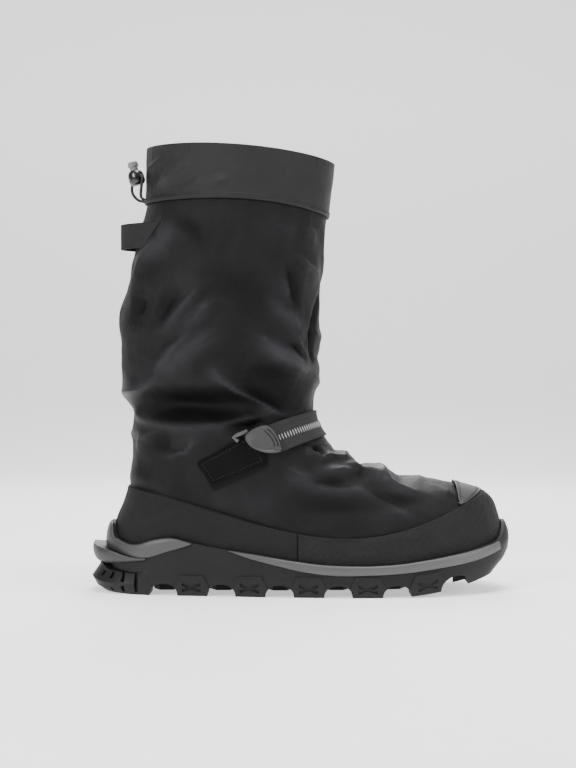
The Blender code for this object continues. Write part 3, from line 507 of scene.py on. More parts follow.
def plain_thread(name, colour):
    """Twisted thread."""
    made = Finish(name, colour, 0.60)
    twist = made.node("ShaderNodeTexWave", {"Vector": made.place(), "Scale": 900.0, "Distortion": 1.5})
    made.tint(twist.outputs["Fac"], 0.75, 1.2)
    made.bump(twist.outputs["Fac"], 0.00005)
    return made.material


WEBBING = webbing("grey_webbing", (0.022, 0.021, 0.022), 0.0016)
LOOP_WEBBING = webbing("loop_webbing", (0.014, 0.0136, 0.0143), 0.0012)
LADDER_YARN = plain_thread("ladder_yarn", (0.300, 0.295, 0.300))
BLACK_TAPE = webbing("black_tape", (0.0020, 0.0020, 0.0022), 0.0010, 0.86)
TAIL_BLACK = webbing("tail_black", (0.0006, 0.0006, 0.0006), 0.0006, 0.92)
BLACK_THREAD = plain_thread("black_thread", (0.003, 0.003, 0.003))
GREY_THREAD = plain_thread("grey_thread", (0.028, 0.027, 0.028))
CORD_YARN = plain_thread("cord_yarn", (0.004, 0.004, 0.0042))

# %% [markdown]
# ## Floor and backdrop
# The floor is pale and plain, and it catches the soft shadow under the sole. It glows a little, as a lit
# backdrop does, so that it stays pale behind a black object. More lamps would do that too, but they would
# wash out the black cloth.

# %% Floor
FLOOR_GLOW = 0.7


def floor_sweep(reach=2.2, bend=0.8, height=2.4):
    """A floor that curves up behind the object."""
    profile = [(-2.5, 0.0), (reach - bend, 0.0)]
    for angle in np.linspace(0.1, math.pi / 2, 12):
        profile.append((reach - bend + bend * math.sin(angle), bend - bend * math.cos(angle)))
    profile.append((reach, height))
    grid = np.array([[(x, y, z) for x in (4.0, -4.0)] for y, z in profile])
    return grid_piece("studio_floor", grid, False, FLOOR_PAINT)


floor_finish = Finish("studio_paint", (0.86, 0.86, 0.86), 0.85, Emission_Color=(1.0, 1.0, 1.0, 1.0),
                      Emission_Strength=FLOOR_GLOW)
floor_finish.tint(floor_finish.noise(0.6, 2.0), 0.99, 1.01)
FLOOR_PAINT = floor_finish.material
floor_sweep()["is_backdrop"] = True

# %% [markdown]
# ## Creases of the slack cloth
# The shaft is far wider than a leg, so the nylon sinks in over the ankle and throws soft folds that run to the
# strap. Cloth simulation could find some folds of its own, but not the ones of this shoe. Each main fold is
# placed one by one instead: a line over the cloth, how far it stands out or sinks in, how wide it is and how
# crisp its crest is. All places and sizes of the folds are in millimetres.

# %% Folds of the lateral side, seen from the side: height, width, crispness, then x and z of each point
LATERAL_FOLDS = (
    (-9.0, 12.0, 0.0, ((-122, 152), (-96, 151), (-68, 151), (-44, 151))),
    (3.2, 6.0, 0.4, ((-134, 145), (-115, 139), (-87, 136), (-65, 137), (-30, 143), (-23, 147))),
    (-3.0, 4.0, 0.2, ((-58, 134), (-41, 136), (-27, 139))),
    (4.5, 5.0, 0.8, ((-69, 178), (-63, 171), (-52, 163), (-36, 156), (-25, 149), (-14, 142))),
    (-5.5, 14.0, 0.0, ((-45, 176), (-27, 168), (-9, 160))),
    (4.0, 8.0, 0.3, ((-34, 205), (-18, 193), (-2, 184), (5, 182))),
    (1.6, 3.0, 0.7, ((-6, 209), (-1, 198), (3, 190))),
    (-2.0, 3.0, 0.4, ((-8, 202), (1, 192))),
    (3.4, 6.0, 0.6, ((-142, 164), (-128, 165), (-116, 172))),
    (2.6, 6.0, 0.5, ((-86, 210), (-102, 197), (-114, 183))),
    (2.8, 7.0, 0.3, ((-70, 207), (-86, 197), (-103, 183))),
    (2.6, 6.0, 0.6, ((-82, 243), (-96, 227), (-108, 213))),
    (2.2, 5.5, 0.5, ((-71, 232), (-86, 219), (-93, 212))),
    (-2.2, 7.0, 0.0, ((-103, 240), (-116, 221))),
    (-2.6, 8.0, 0.0, ((-128, 240), (-132, 225))),
    (2.6, 9.0, 0.2, ((-108, 302), (-110, 283), (-128, 271), (-137, 255))),
    (-1.8, 7.0, 0.0, ((-102, 304), (-90, 292), (-80, 280))),
    (1.8, 4.0, 0.7, ((-4, 274), (5, 264), (14, 259))),
    (1.5, 4.0, 0.5, ((-15, 253), (-12, 240))),
    (-2.4, 5.0, 0.2, ((-8, 262), (-5, 248), (-4, 235))),
    (2.8, 7.0, 0.4, ((-25, 233), (-12, 223), (-2, 214))),
    (1.5, 4.0, 0.4, ((4, 298), (11, 285))),
    (-3.2, 3.0, 0.3, ((14, 240), (12, 226), (8, 210), (8, 190))),
    (-1.6, 22.0, 0.0, ((-50, 262), (-45, 225))),
    (1.8, 4.0, 0.5, ((-133, 119), (-129, 126), (-119, 131))),
    (2.4, 4.5, 0.7, ((-107, 111), (-92, 115), (-82, 127))),
    (-2.0, 7.0, 0.0, ((-120, 121), (-105, 123))),
    (2.6, 3.4, 0.7, ((4, 120), (9, 113), (17, 109), (24, 112))),
    (-5.0, 4.0, 0.2, ((12, 118), (16, 114))),
    (3.4, 5.0, 0.6, ((37, 104), (52, 100), (62, 94), (74, 87), (85, 82), (94, 79))),
    (2.0, 4.5, 0.4, ((17, 99), (30, 100), (42, 99))),
    (-2.8, 6.0, 0.0, ((9, 92), (24, 90), (38, 88))),
    (2.4, 5.5, 0.4, ((-6, 91), (19, 85), (44, 83), (61, 77), (68, 76))),
    (1.8, 3.5, 0.7, ((91, 77), (102, 70), (110, 65))),
    (1.6, 4.0, 0.5, ((87, 86), (104, 81), (119, 81))),
    (-2.2, 4.5, 0.0, ((63, 80), (79, 76), (93, 73))),
    (1.5, 4.0, 0.4, ((73, 68), (90, 62))),
    (1.6, 3.0, 0.6, ((25, 112), (37, 108), (45, 102))),
    (1.6, 4.5, 0.4, ((-9, 101), (7, 94), (23, 93))),
    (-1.8, 7.0, 0.0, ((-9, 77), (23, 72), (50, 70))),
)

# %% Folds of the medial side, which the photograph hides, of the same kind and size
MEDIAL_FOLDS = (
    (-8.0, 12.0, 0.0, ((-118, 150), (-92, 148), (-62, 151), (-38, 155))),
    (3.2, 6.0, 0.4, ((-132, 141), (-110, 135), (-82, 133), (-52, 139), (-26, 146))),
    (4.2, 5.5, 0.7, ((-78, 186), (-60, 173), (-42, 164), (-24, 152), (-12, 143))),
    (-4.5, 13.0, 0.0, ((-42, 184), (-20, 172))),
    (3.6, 8.0, 0.3, ((-40, 214), (-22, 200), (-4, 190))),
    (3.2, 6.5, 0.5, ((-140, 168), (-124, 172), (-108, 182))),
    (2.6, 7.0, 0.4, ((-76, 240), (-94, 222), (-110, 206))),
    (2.4, 6.5, 0.4, ((-60, 226), (-80, 208), (-96, 192))),
    (-2.4, 8.0, 0.0, ((-118, 244), (-126, 222))),
    (2.4, 9.0, 0.2, ((-104, 304), (-114, 280), (-132, 258))),
    (-1.8, 8.0, 0.0, ((-88, 300), (-74, 276))),
    (2.2, 7.0, 0.3, ((-36, 292), (-20, 268), (-6, 252))),
    (-1.6, 20.0, 0.0, ((-56, 258), (-50, 222))),
    (2.4, 5.0, 0.6, ((-112, 108), (-94, 112), (-80, 122))),
    (-2.0, 7.0, 0.0, ((-122, 118), (-104, 120))),
    (3.0, 5.0, 0.5, ((34, 102), (52, 97), (70, 90), (90, 82))),
    (2.2, 5.0, 0.4, ((4, 96), (26, 90), (50, 85))),
    (-2.4, 6.0, 0.0, ((14, 86), (40, 80), (64, 76))),
    (1.8, 4.5, 0.4, ((80, 70), (98, 66), (112, 64))),
)

# %% Folds over the vamp seen from above (x and y), and down the front and back of the shaft (y and z)
VAMP_FOLDS = (
    (-4.2, 4.5, 0.2, ((50, -34), (50, -12), (49, 8), (46, 30))),
    (3.4, 5.0, 0.4, ((66, -26), (67, -6), (65, 14), (60, 32))),
    (-2.4, 5.0, 0.1, ((80, -28), (83, -6), (80, 16))),
    (1.6, 4.5, 0.4, ((95, -22), (98, 0), (94, 20))),
    (2.4, 3.5, 0.5, ((34, -24), (37, -4), (34, 16))),
    (-2.0, 3.0, 0.2, ((27, -18), (29, 0), (27, 18))),
)
FRONT_FOLDS = (
    (2.6, 5.0, 0.5, ((-26, 214), (-8, 206), (12, 212), (30, 224))),
    (-2.4, 6.0, 0.0, ((-24, 196), (0, 190), (22, 198))),
    (2.2, 5.0, 0.5, ((-20, 176), (0, 170), (20, 176))),
    (-1.8, 6.0, 0.0, ((-8, 264), (6, 240))),
    (1.8, 5.0, 0.4, ((-14, 296), (-4, 272), (10, 254))),
)
BACK_FOLDS = (
    (3.0, 6.0, 0.4, ((-26, 166), (-8, 162), (12, 162), (28, 168))),
    (-3.0, 7.0, 0.0, ((-24, 150), (0, 146), (24, 150))),
    (2.4, 6.0, 0.4, ((-24, 132), (0, 128), (22, 132))),
    (-2.4, 8.0, 0.0, ((-12, 206), (4, 190), (16, 178))),
    (2.4, 7.0, 0.3, ((10, 244), (-4, 226), (-16, 212))),
    (-1.8, 7.0, 0.0, ((-14, 270), (2, 250))),
)

# %% Folds of the cuff, on its lateral and medial sides
CUFF_FOLDS = (
    (1.6, 3.6, 0.6, ((-124, 341), (-118, 347), (-112, 352))),
    (2.0, 6.0, 0.2, ((-115, 330), (-104, 337), (-93, 344))),
    (1.3, 4.0, 0.3, ((-94, 324), (-77, 331))),
    (1.1, 4.0, 0.3, ((-76, 322), (-60, 332))),
    (-1.3, 5.0, 0.0, ((-97, 334), (-66, 343))),
    (1.0, 4.0, 0.4, ((-2, 322), (4, 312))),
    (-0.9, 6.0, 0.0, ((-40, 330), (-12, 336))),
)

# %% Folds of the rand, on its lateral and medial sides
RAND_FOLDS = (
    (2.6, 6.0, 0.3, ((-131, 57), (-112, 65), (-91, 72), (-60, 65), (-31, 58))),
    (1.6, 7.0, 0.1, ((-122, 44), (-100, 52), (-78, 50))),
    (1.2, 6.0, 0.2, ((60, 44), (82, 48), (104, 50))),
    (1.0, 5.0, 0.2, ((96, 34), (118, 42), (136, 46))),
)

# %% Places of the folds on the cloth
VIEWS = {
    "lateral": ((0, 2), ((0.25, 16.0), (0.25, 11.0), (0.12, 6.0), (0.38, 12.0))),
    "medial": ((0, 2), ((0.75, 16.0), (0.75, 11.0), (0.88, 6.0), (0.62, 12.0))),
    "top": ((0, 1), ((0.05, 7.0), (0.95, 7.0), (0.01, 9.0))),
    "front": ((1, 2), ((0.03, 14.0), (0.97, 14.0))),
    "back": ((1, 2), ((0.47, 13.0), (0.53, 13.0))),
}


def on_upper(view, a, b):
    """turn and level of the places on the upper that show at a and b in a straight view of it."""
    axes, starts = VIEWS[view]
    aim = np.stack(np.broadcast_arrays(np.asarray(a, float), np.asarray(b, float)), -1)
    best = np.full(aim.shape[:-1], 1e9)
    found = np.zeros(aim.shape)
    for first_turn, first_level in starts:
        turn, level = np.full(best.shape, first_turn), np.full(best.shape, first_level)
        for _ in range(24):
            here, across, up = (way[..., axes] for way in slopes(turn, level))
            gap = aim - here
            scale = across[..., 0] * up[..., 1] - across[..., 1] * up[..., 0]
            scale = np.where(np.abs(scale) < 1e-7, 1e-7, scale)
            move_turn = (gap[..., 0] * up[..., 1] - gap[..., 1] * up[..., 0]) / scale
            move_level = (across[..., 0] * gap[..., 1] - across[..., 1] * gap[..., 0]) / scale
            turn = turn + np.clip(move_turn, -0.03, 0.03)
            level = np.clip(level + np.clip(move_level, -0.8, 0.8), 0, COLLAR - 0.02)
        error = np.linalg.norm(upper_surface(turn, level)[..., axes] - aim, axis=-1)
        better = error < best - 1e-4
        found = np.where(better[..., None], np.stack([turn, level], -1), found)
        best = np.where(better, error, best)
    return found[..., 0], found[..., 1]


def slopes(turn, level):
    """Where the upper is, and how it moves with turn and with level."""
    here = upper_surface(turn, level)
    across = (upper_surface(turn + TURN_STEP, level) - here) / TURN_STEP
    return here, across, (upper_surface(turn, level + LEVEL_STEP) - here) / LEVEL_STEP


FOLD_DEPTH = {"lateral": 1.9, "medial": 1.9, "top": 1.1, "front": 1.0, "back": 1.0}
CUFF_DEPTH = 2.0
RAND_DEPTH = 1.0
TURN_STEP = 1e-3
LEVEL_STEP = 1e-2


def fold_lines(view, rows, depth=None):
    """Each fold as its height, width and crispness with the points of its line on the upper."""
    scale = (depth or FOLD_DEPTH[view]) / 1000
    spots = np.array([spot for *_, spots in rows for spot in spots]) / 1000
    points = upper_surface(*on_upper(view, spots[:, 0], spots[:, 1]))
    lines, start = [], 0
    for height, width, crisp, own in rows:
        lines.append((height * scale, width / 1000, crisp, points[start:start + len(own)]))
        start += len(own)
    return lines


UPPER_FOLDS = fold_lines("lateral", LATERAL_FOLDS) + fold_lines("medial", MEDIAL_FOLDS)
UPPER_FOLDS += fold_lines("top", VAMP_FOLDS)
UPPER_FOLDS += fold_lines("front", FRONT_FOLDS) + fold_lines("back", BACK_FOLDS)
CUFF_LINES = [line for view in ("lateral", "medial") for line in fold_lines(view, CUFF_FOLDS, CUFF_DEPTH)]
RAND_LINES = [line for view in ("lateral", "medial") for line in fold_lines(view, RAND_FOLDS, RAND_DEPTH)]
print("folds placed:", len(UPPER_FOLDS), "on the upper,", len(CUFF_LINES), "on the cuff")

# %% Relief of the folds
def fold_relief(points, lines):
    """How far each point is pushed out by all the folds near it."""
    total = np.zeros(len(points))
    for height, width, crisp, line in lines:
        near = np.full(len(points), 1e9)
        share = np.zeros(len(points))
        ahead = np.linalg.norm(np.diff(line, axis=0), axis=1)
        start, length = np.concatenate([[0], np.cumsum(ahead)]), ahead.sum()
        for i, (a, b) in enumerate(zip(line[:-1], line[1:])):
            t = np.clip((points - a) @ (b - a) / max(ahead[i] ** 2, 1e-12), 0, 1)
            away = np.linalg.norm(points - a - t[:, None] * (b - a), axis=1)
            closer = away < near
            near = np.where(closer, away, near)
            share = np.where(closer, (start[i] + t * ahead[i]) / length, share)
        r = near / width
        soft = np.exp(-(r**2))
        sharp = np.exp(-1.7 * (np.sqrt(r**2 + 0.03) - math.sqrt(0.03)))
        fade = 0.35 + 0.65 * np.sin(math.pi * np.clip(share, 0.0, 1.0)) ** 0.8
        total += height * fade * ((1 - crisp) * soft + crisp * sharp)
    return total


def slack(points, size, height):
    """Small unevenness of hanging cloth."""
    return np.array([noise.noise(Vector(p) / size) for p in points]) * height


# %% [markdown]
# ## The upper
# One shell of thin coated nylon from the lasting edge to the collar. It could be a subdivided cage, but the
# folds need small, even faces, so it is a fine grid read from the function, pushed along its own normals by the
# folds, then thickened inwards. The inner wall takes the lining's finish. An attribute named fold keeps how far
# each place stands out, so that the finish can paint a highlight on the crests and shade in the hollows.

# %% Upper
def even_levels(first, last, count):
    """Levels between two, spaced evenly over the cloth and not by number."""
    dense = np.linspace(first, last, 400)
    front, back = upper_surface(0.0, dense), upper_surface(0.5, dense)
    run = sum(np.linalg.norm(np.diff(edge, axis=0), axis=1) for edge in (front, back))
    return np.interp(np.linspace(0, run.sum(), count), np.concatenate([[0], np.cumsum(run)]), dense)


UPPER_COLUMNS = 264
UPPER_ROWS = 158
LARGE_SLACK = (0.030, 0.0016)
SMALL_SLACK = (0.012, 0.0006)
EVEN_CREST = 0.42
CREST_RANGE = 0.011


def freedom(level):
    """1 where the cloth is free, falling to 0 where the rand or the cuff holds it."""
    return eased((level - RAND_TOP + 0.3) / 1.2) * eased((CUFF_FOOT + 0.1 - level) / 0.9)


def build_upper():
    """The upper's cloth, with its folds and an attribute that tells crests from hollows."""
    levels = np.concatenate([np.linspace(0, 3.4, 5), even_levels(3.6, 19.15, UPPER_ROWS), [19.4, 19.7, 20.0]])
    turns = np.arange(UPPER_COLUMNS) / UPPER_COLUMNS
    turn, level = np.meshgrid(turns, levels)
    base, normal = upper_surface(turn, level).reshape(-1, 3), outward(turn, level).reshape(-1, 3)
    free = freedom(level.ravel())
    relief = fold_relief(base, UPPER_FOLDS) * free
    relief += (slack(base, *LARGE_SLACK) + slack(base + 1.0, *SMALL_SLACK)) * free
    relief *= strap_hold(base, relief)
    grid = (base + relief[:, None] * normal).reshape(len(levels), UPPER_COLUMNS, 3)
    made = grid_piece("upper_cloth", grid, True, NYLON, CLOTH_WALL, LINING)
    # the fold attribute drives the nylon's painted highlight on crests and painted shade in hollows
    crest = np.clip(EVEN_CREST + relief / CREST_RANGE, 0.0, 1.0).astype(np.float32)
    made.data.attributes.new("fold", "FLOAT", "POINT").data.foreach_set("value", crest)
    finish_piece(made, "upper")
    print("upper cloth: faces", len(made.data.polygons), "relief mm", round(float(relief.min()) * 1000, 1),
          round(float(relief.max()) * 1000, 1))


def strap_hold(points, relief):
    """Raised folds die out under the strap and the buckle, which press the cloth flat."""
    near = np.full(len(points), 1e9)
    for a, b in zip(HOLD_LINE[:-1], HOLD_LINE[1:]):
        t = np.clip((points - a) @ (b - a) / float((b - a) @ (b - a)), 0, 1)
        near = np.minimum(near, np.linalg.norm(points - a - t[:, None] * (b - a), axis=1))
    pressed = 1 - eased((near - 0.55 * STRAP_WIDTH) / (0.25 * STRAP_WIDTH))
    return np.where(relief > 0, 1 - pressed, 1 - 0.9 * pressed)


# %% Line of the strap, as shares of the sole's length and of the height
STRAP_LINE = table(("along", "height"), (
    (0.230, 0.240),
    (0.268, 0.264),
    (0.340, 0.304),
    (0.413, 0.336),
    (0.480, 0.359),
    (0.545, 0.375),
    (0.600, 0.384),
))
STRAP_LATERAL_END = -0.066
STRAP_MEDIAL_END = -0.223


def strap_level(turn):
    """Level at which the strap's middle line crosses a turn of the upper."""
    levels = np.linspace(5, 14, 181)
    points = upper_surface(turn, levels)
    line = smooth(points[:, 0] / SOLE_LENGTH + 0.5, STRAP_LINE["along"], STRAP_LINE["height"])
    return float(np.interp(0.0, points[:, 2] - line * OVERSHOE_HEIGHT, levels))


def strap_turn(x, side):
    """turn at which the strap passes x, on the lateral (1) or medial (-1) side."""
    turns = np.linspace(0.0, 0.45, 120)
    xs = [float(upper_surface(side * t, strap_level(side * t))[0]) for t in turns]
    return side * float(np.interp(-x, [-value for value in xs], turns))


STRAP_ENDS = (strap_turn(STRAP_MEDIAL_END * SOLE_LENGTH, -1), strap_turn(STRAP_LATERAL_END * SOLE_LENGTH, 1))
PATCH_CORNERS = ((-0.204, 0.232), (-0.076, 0.285), (-0.120, 0.356), (-0.241, 0.292))
TAIL_CORNERS = ((-0.209, 0.249), (-0.078, 0.298), (-0.120, 0.352), (-0.239, 0.290))


def hold_line():
    """The strap's middle line and, on the lateral side, the buckle patch's."""
    line = [upper_surface(t, strap_level(t)) for t in np.linspace(*STRAP_ENDS, 24)]
    for share in np.linspace(0, 1, 6):
        low, high = (np.array(PATCH_CORNERS[i]) for i in (1, 2))
        rear = (np.array(PATCH_CORNERS[0]) + PATCH_CORNERS[3]) / 2
        x, z = (low + high) / 2 + share * (rear - (low + high) / 2)
        line.append(upper_surface(*on_upper("lateral", x * SOLE_LENGTH, z * OVERSHOE_HEIGHT)))
    return np.array(line)


HOLD_LINE = hold_line()
build_upper()

# %% [markdown]
# ## The rand
# The foot of an overshoe wears first, so a heavier woven band goes round it outside the nylon. It is two
# pieces that meet at an upright seam on each side: a coarse diagonal weave in front, a smoother one behind.
# Two sheets with a small gap say that more truly than one sheet with a painted line.

# %% Rand
RAND_SEAM_X = -0.003
SEAM_GAP = 0.0003
RAND_WAVES = ((0.0, 0.022, 0.0010), (2.0, 0.009, 0.0003))


def turn_at(x, side, level=1.0):
    """turn at which a ring of the upper passes x, on the lateral (1) or medial (-1) side."""
    turns = np.linspace(0.001, 0.499, 500)
    xs = upper_surface(turns, level)[:, 0]
    turn = float(np.interp(-x, -xs, turns))
    return turn if side > 0 else 1 - turn


def rand_piece(name, front, finish, columns, rows=26):
    """Front or rear half of the rand, between the upright seams."""
    levels = np.linspace(0, RAND_TOP, rows)
    grid = np.zeros((rows, columns, 3))
    for r, level in enumerate(levels):
        edge = RAND_SEAM_X + (SEAM_GAP if front else -SEAM_GAP)
        lateral, medial = turn_at(edge, 1, level), turn_at(edge, -1, level)
        turns = np.linspace(medial - 1, lateral, columns) if front else np.linspace(lateral, medial, columns)
        base, normal = upper_surface(turns, level), outward(turns, level)
        free = eased(level / 1.4) * eased((RAND_TOP - level) / 1.2 + 0.25)
        wave = sum(slack(base + shift, size, height) for shift, size, height in RAND_WAVES)
        wave = wave + fold_relief(base, RAND_LINES)
        lift = GAP + RAND_WALL + np.maximum(wave, -0.0002) * free
        grid[r] = base + lift[:, None] * normal
    finish_piece(grid_piece(name, grid, False, finish, RAND_WALL), "rand")


rand_piece("rand_front", True, RAND_FRONT, 230)
rand_piece("rand_rear", False, RAND_REAR, 150)
print("rand seam at x", RAND_SEAM_X)

# %% [markdown]
# ## The cuff
# A band of glossier nylon is folded over the collar and holds the drawcord. Its hem stands a little proud of
# the shaft, which draws the dark line under it. It is the same kind of grid as the upper, with its own folds
# and small gathers where the cord pulls at the back.

# %% Cuff
CUFF_WAVES = ((0.0, 0.024, 0.0010), (3.0, 0.010, 0.0004))
GATHERS = 58
GATHER_HEIGHT = 0.0006
GATHER_SPREAD = 0.07
HEM_HEIGHT = 0.0007


def build_cuff(rows=46, columns=264):
    """The band round the collar, gathered at the back where the cord pulls."""
    levels = np.linspace(CUFF_FOOT, COLLAR, rows)
    turns = np.arange(columns) / columns
    turn, level = np.meshgrid(turns, levels)
    base, normal = upper_surface(turn, level).reshape(-1, 3), outward(turn, level).reshape(-1, 3)
    turn, share = turn.ravel(), level.ravel() - CUFF_FOOT
    free = 0.25 + 0.75 * np.sin(math.pi * share)
    gathers = np.sin(2 * math.pi * turn * GATHERS) * np.exp(-((turn - 0.5) / GATHER_SPREAD) ** 2)
    relief = fold_relief(base, CUFF_LINES)
    for shift, size, height in CUFF_WAVES:
        relief = relief + slack(base + shift, size, height)
    relief = relief + gathers * GATHER_HEIGHT
    hem = HEM_HEIGHT * np.exp(-((share - 0.06) / 0.05) ** 2)
    lift = GAP + CUFF_WALL + np.maximum(relief * free, -0.0001) + hem
    grid = (base + lift[:, None] * normal).reshape(rows, columns, 3)
    made = finish_piece(grid_piece("cuff_band", grid, True, CUFF_NYLON, CUFF_WALL), "cuff")
    print("cuff faces:", len(made.data.polygons))


build_cuff()

# %% [markdown]
# ## The sole
# A cup of black rubber: a flared heel, a bumper that rolls round the toe, lugs along both edges with arches
# between them. It could be sculpted, but its wall follows rules, so rows of points are read from a few tables
# and the arches, pads and grooves are cut or added with exact booleans, as a mould is cut.

# %% Tables of the sole's wall, shared with the model
RIM_LINE = table(("round", "height"), (
    (0.000, 1.00), (0.030, 0.97), (0.064, 0.87), (0.090, 0.78), (0.116, 0.73), (0.160, 0.68),
    (0.232, 0.60), (0.305, 0.52), (0.354, 0.47), (0.426, 0.445), (0.482, 0.465), (0.531, 0.52),
    (0.588, 0.60), (0.641, 0.66), (0.693, 0.73), (0.744, 0.81), (0.782, 0.78), (0.823, 0.71),
    (0.888, 0.76), (0.920, 0.81), (0.940, 0.93), (0.965, 0.985), (1.000, 1.00),
))
FLANK_LINE = table(("round", "lower"), (
    (0.116, 0.60), (0.193, 0.49), (0.294, 0.39), (0.354, 0.335), (0.414, 0.312),
    (0.462, 0.31), (0.504, 0.35), (0.551, 0.44), (0.600, 0.55), (0.630, 0.635),
))
CRADLE_LINE = table(("round", "lower"), (
    (0.700, 0.72), (0.723, 0.663), (0.749, 0.616), (0.779, 0.553), (0.805, 0.521),
    (0.829, 0.521), (0.888, 0.579), (0.940, 0.615), (1.000, 0.66),
))
WALL = table(("rise", "side", "heel", "toe"), (
    (0.00, 0.75, 0.22, -1.00),
    (0.09, 0.90, 0.74, -0.62),
    (0.21, 1.00, 1.00, -0.20),
    (0.37, 1.05, 0.52, 0.00),
    (0.42, 1.05, 0.48, 0.00),
    (0.45, 1.02, 0.08, 0.03),
    (0.56, 1.00, 0.05, 0.08),
    (0.75, 0.95, 0.02, 0.12),
    (0.92, 0.90, 0.00, 0.07),
    (1.00, 0.75, 0.00, 0.04),
))
LOW_LEVELS = np.linspace(0, 8, 161)
HIGH_LEVELS = np.linspace(12, 20, 161)

# %% The sole's wall as functions
def crossing(values, stations, target):
    """Where rising values reach a target, row by row."""
    target = np.asarray(target, float)[..., None]
    i = np.clip((values < target).sum(-1, keepdims=True) - 1, 0, len(stations) - 2)
    low, high = np.take_along_axis(values, i, -1), np.take_along_axis(values, i + 1, -1)
    share = np.clip((target - low) / np.maximum(high - low, 1e-12), 0, 1)
    return (stations[i] + share * (stations[1] - stations[0]))[..., 0]


def plan_outward(turn, level):
    """Level unit vector that points out of the upper's outline, seen from above."""
    step = 1e-3
    ahead = upper_surface(turn + step, level) - upper_surface(turn - step, level)
    out = np.stack([-ahead[..., 1], ahead[..., 0], np.zeros(ahead.shape[:-1])], -1)
    return out / np.linalg.norm(out, axis=-1, keepdims=True)


def level_at(turn, height, dense=LOW_LEVELS):
    turn, height = np.broadcast_arrays(np.asarray(turn, float), np.asarray(height, float))
    return crossing(upper_surface(turn[..., None], dense)[..., 2], dense, height)


def foot_wall(turn, height, lift):
    """The foot's wall at a height, moved outward in plan: the upper's surface, or its outline below that."""
    turn, height, lift = np.broadcast_arrays(*(np.asarray(v, float) for v in (turn, height, lift)))
    level = np.maximum(1.0, level_at(turn, height))
    point = upper_surface(turn, level) + lift[..., None] * plan_outward(turn, level)
    return np.stack([point[..., 0], point[..., 1], height], -1)


def round_share(turn):
    """0 at the toe and 1 at the heel, on either side."""
    turn = np.asarray(turn, float) % 1.0
    return 2 * np.minimum(turn, 1 - turn)


def tread_height(x):
    """Height of the tread: on the floor, then rising in the toe spring."""
    start = (SPRING_START - 0.5) * SOLE_LENGTH
    return TOE_SPRING * np.maximum(0.0, (x - start) / (SOLE_LENGTH / 2 - start)) ** 2


def rim_height(turn):
    return smooth(round_share(turn), RIM_LINE["round"], RIM_LINE["height"]) * RIM_HEIGHT


def line_height(line, turn):
    return smooth(round_share(turn), line["round"], line["lower"]) * RIM_HEIGHT


def wall_point(turn, rise, lift=0.0):
    """Outside of the sole's wall, at a share of the way from the tread to the rim."""
    row = {name: np.interp(rise, WALL["rise"], WALL[name]) for name in WALL}
    heel = eased((round_share(turn) - 0.76) / 0.20)
    toe = eased((0.17 - round_share(turn)) / 0.12)
    out = INNER_LIFT + row["side"] * SOLE_WALL + row["heel"] * heel * HEEL_FLARE
    out = out + row["toe"] * toe * TOE_ROLL + lift
    base = tread_height(foot_wall(turn, 0, out)[..., 0])
    return foot_wall(turn, base + rise * (rim_height(turn) - base), out)


def wall_at_height(turn, height, lift):
    """Outside of the sole's wall at a height above the floor."""
    base = tread_height(foot_wall(turn, 0, INNER_LIFT)[..., 0])
    return wall_point(turn, np.clip((height - base) / (rim_height(turn) - base), 0, 1), lift)


def bed_height(turn):
    """Top of the sole's plate, just under the upper's lower edge."""
    return upper_surface(turn, 0.0)[..., 2] - GAP


# %% Closed meshes for cutting and joining
def strips(count, first, upward):
    """Faces across the foot between a ring's lateral and medial halves."""
    for c in range(count // 2):
        corners = (c, c + 1, count - c - 1, (count - c) % count)
        face = [first + p for i, p in enumerate(corners) if p not in corners[:i]]
        yield tuple(face[::-1] if upward else face)


def ring_mesh(name, rings):
    """Closed mesh from rings that run round the foot, closed across the foot at both ends."""
    count = len(rings[0])
    faces = []
    for r in range(len(rings) - 1):
        for c in range(count):
            after = (c + 1) % count
            faces.append((r * count + c, (r + 1) * count + c, (r + 1) * count + after, r * count + after))
    faces += [*strips(count, 0, False), *strips(count, (len(rings) - 1) * count, True)]
    mesh = bpy.data.meshes.new(name)
    mesh.from_pydata([tuple(p) for ring in rings for p in ring], [], faces)
    return mesh


def prism_into(shape, base, top):
    """Adds a closed prism between two outlines to a bmesh."""
    low = [shape.verts.new(tuple(p)) for p in base]
    high = [shape.verts.new(tuple(p)) for p in top]
    count = len(low)
    faces = [shape.faces.new(low), shape.faces.new(high)]
    for i in range(count):
        after = (i + 1) % count
        faces.append(shape.faces.new((low[i], low[after], high[after], high[i])))
    bmesh.ops.recalc_face_normals(shape, faces=faces)


def prisms(name, pairs):
    shape = bmesh.new()
    for base, top in pairs:
        prism_into(shape, base, top)
    mesh = bpy.data.meshes.new(name)
    shape.to_mesh(mesh)
    shape.free()
    return mesh


def boolean(target, mesh, operation):
    """Joins or cuts a piece with a mesh and keeps the result as a plain mesh."""
    tool = link(mesh.name, mesh)
    step = target.modifiers.new("step", "BOOLEAN")
    step.operation, step.object, step.solver = operation, tool, "EXACT"
    graph = bpy.context.evaluated_depsgraph_get()
    made = bpy.data.meshes.new_from_object(target.evaluated_get(graph))
    target.modifiers.clear()
    target.data = made
    bpy.data.objects.remove(tool)


# %% Places of the lugs and arches
FIRST_ARCH = -SOLE_LENGTH * 0.32
ARCH_COUNT = int((SOLE_LENGTH * 0.36 - FIRST_ARCH) / LUG_PITCH) + 1
ARCHES = [FIRST_ARCH + i * LUG_PITCH for i in range(ARCH_COUNT)]
LUGS = [x + LUG_PITCH / 2 for x in ARCHES[:-1]]
SOLE_COLUMNS = 252
SOLE_ROUND = np.arange(SOLE_COLUMNS) / SOLE_COLUMNS
print("arches:", [round(x * 1000) for x in ARCHES])


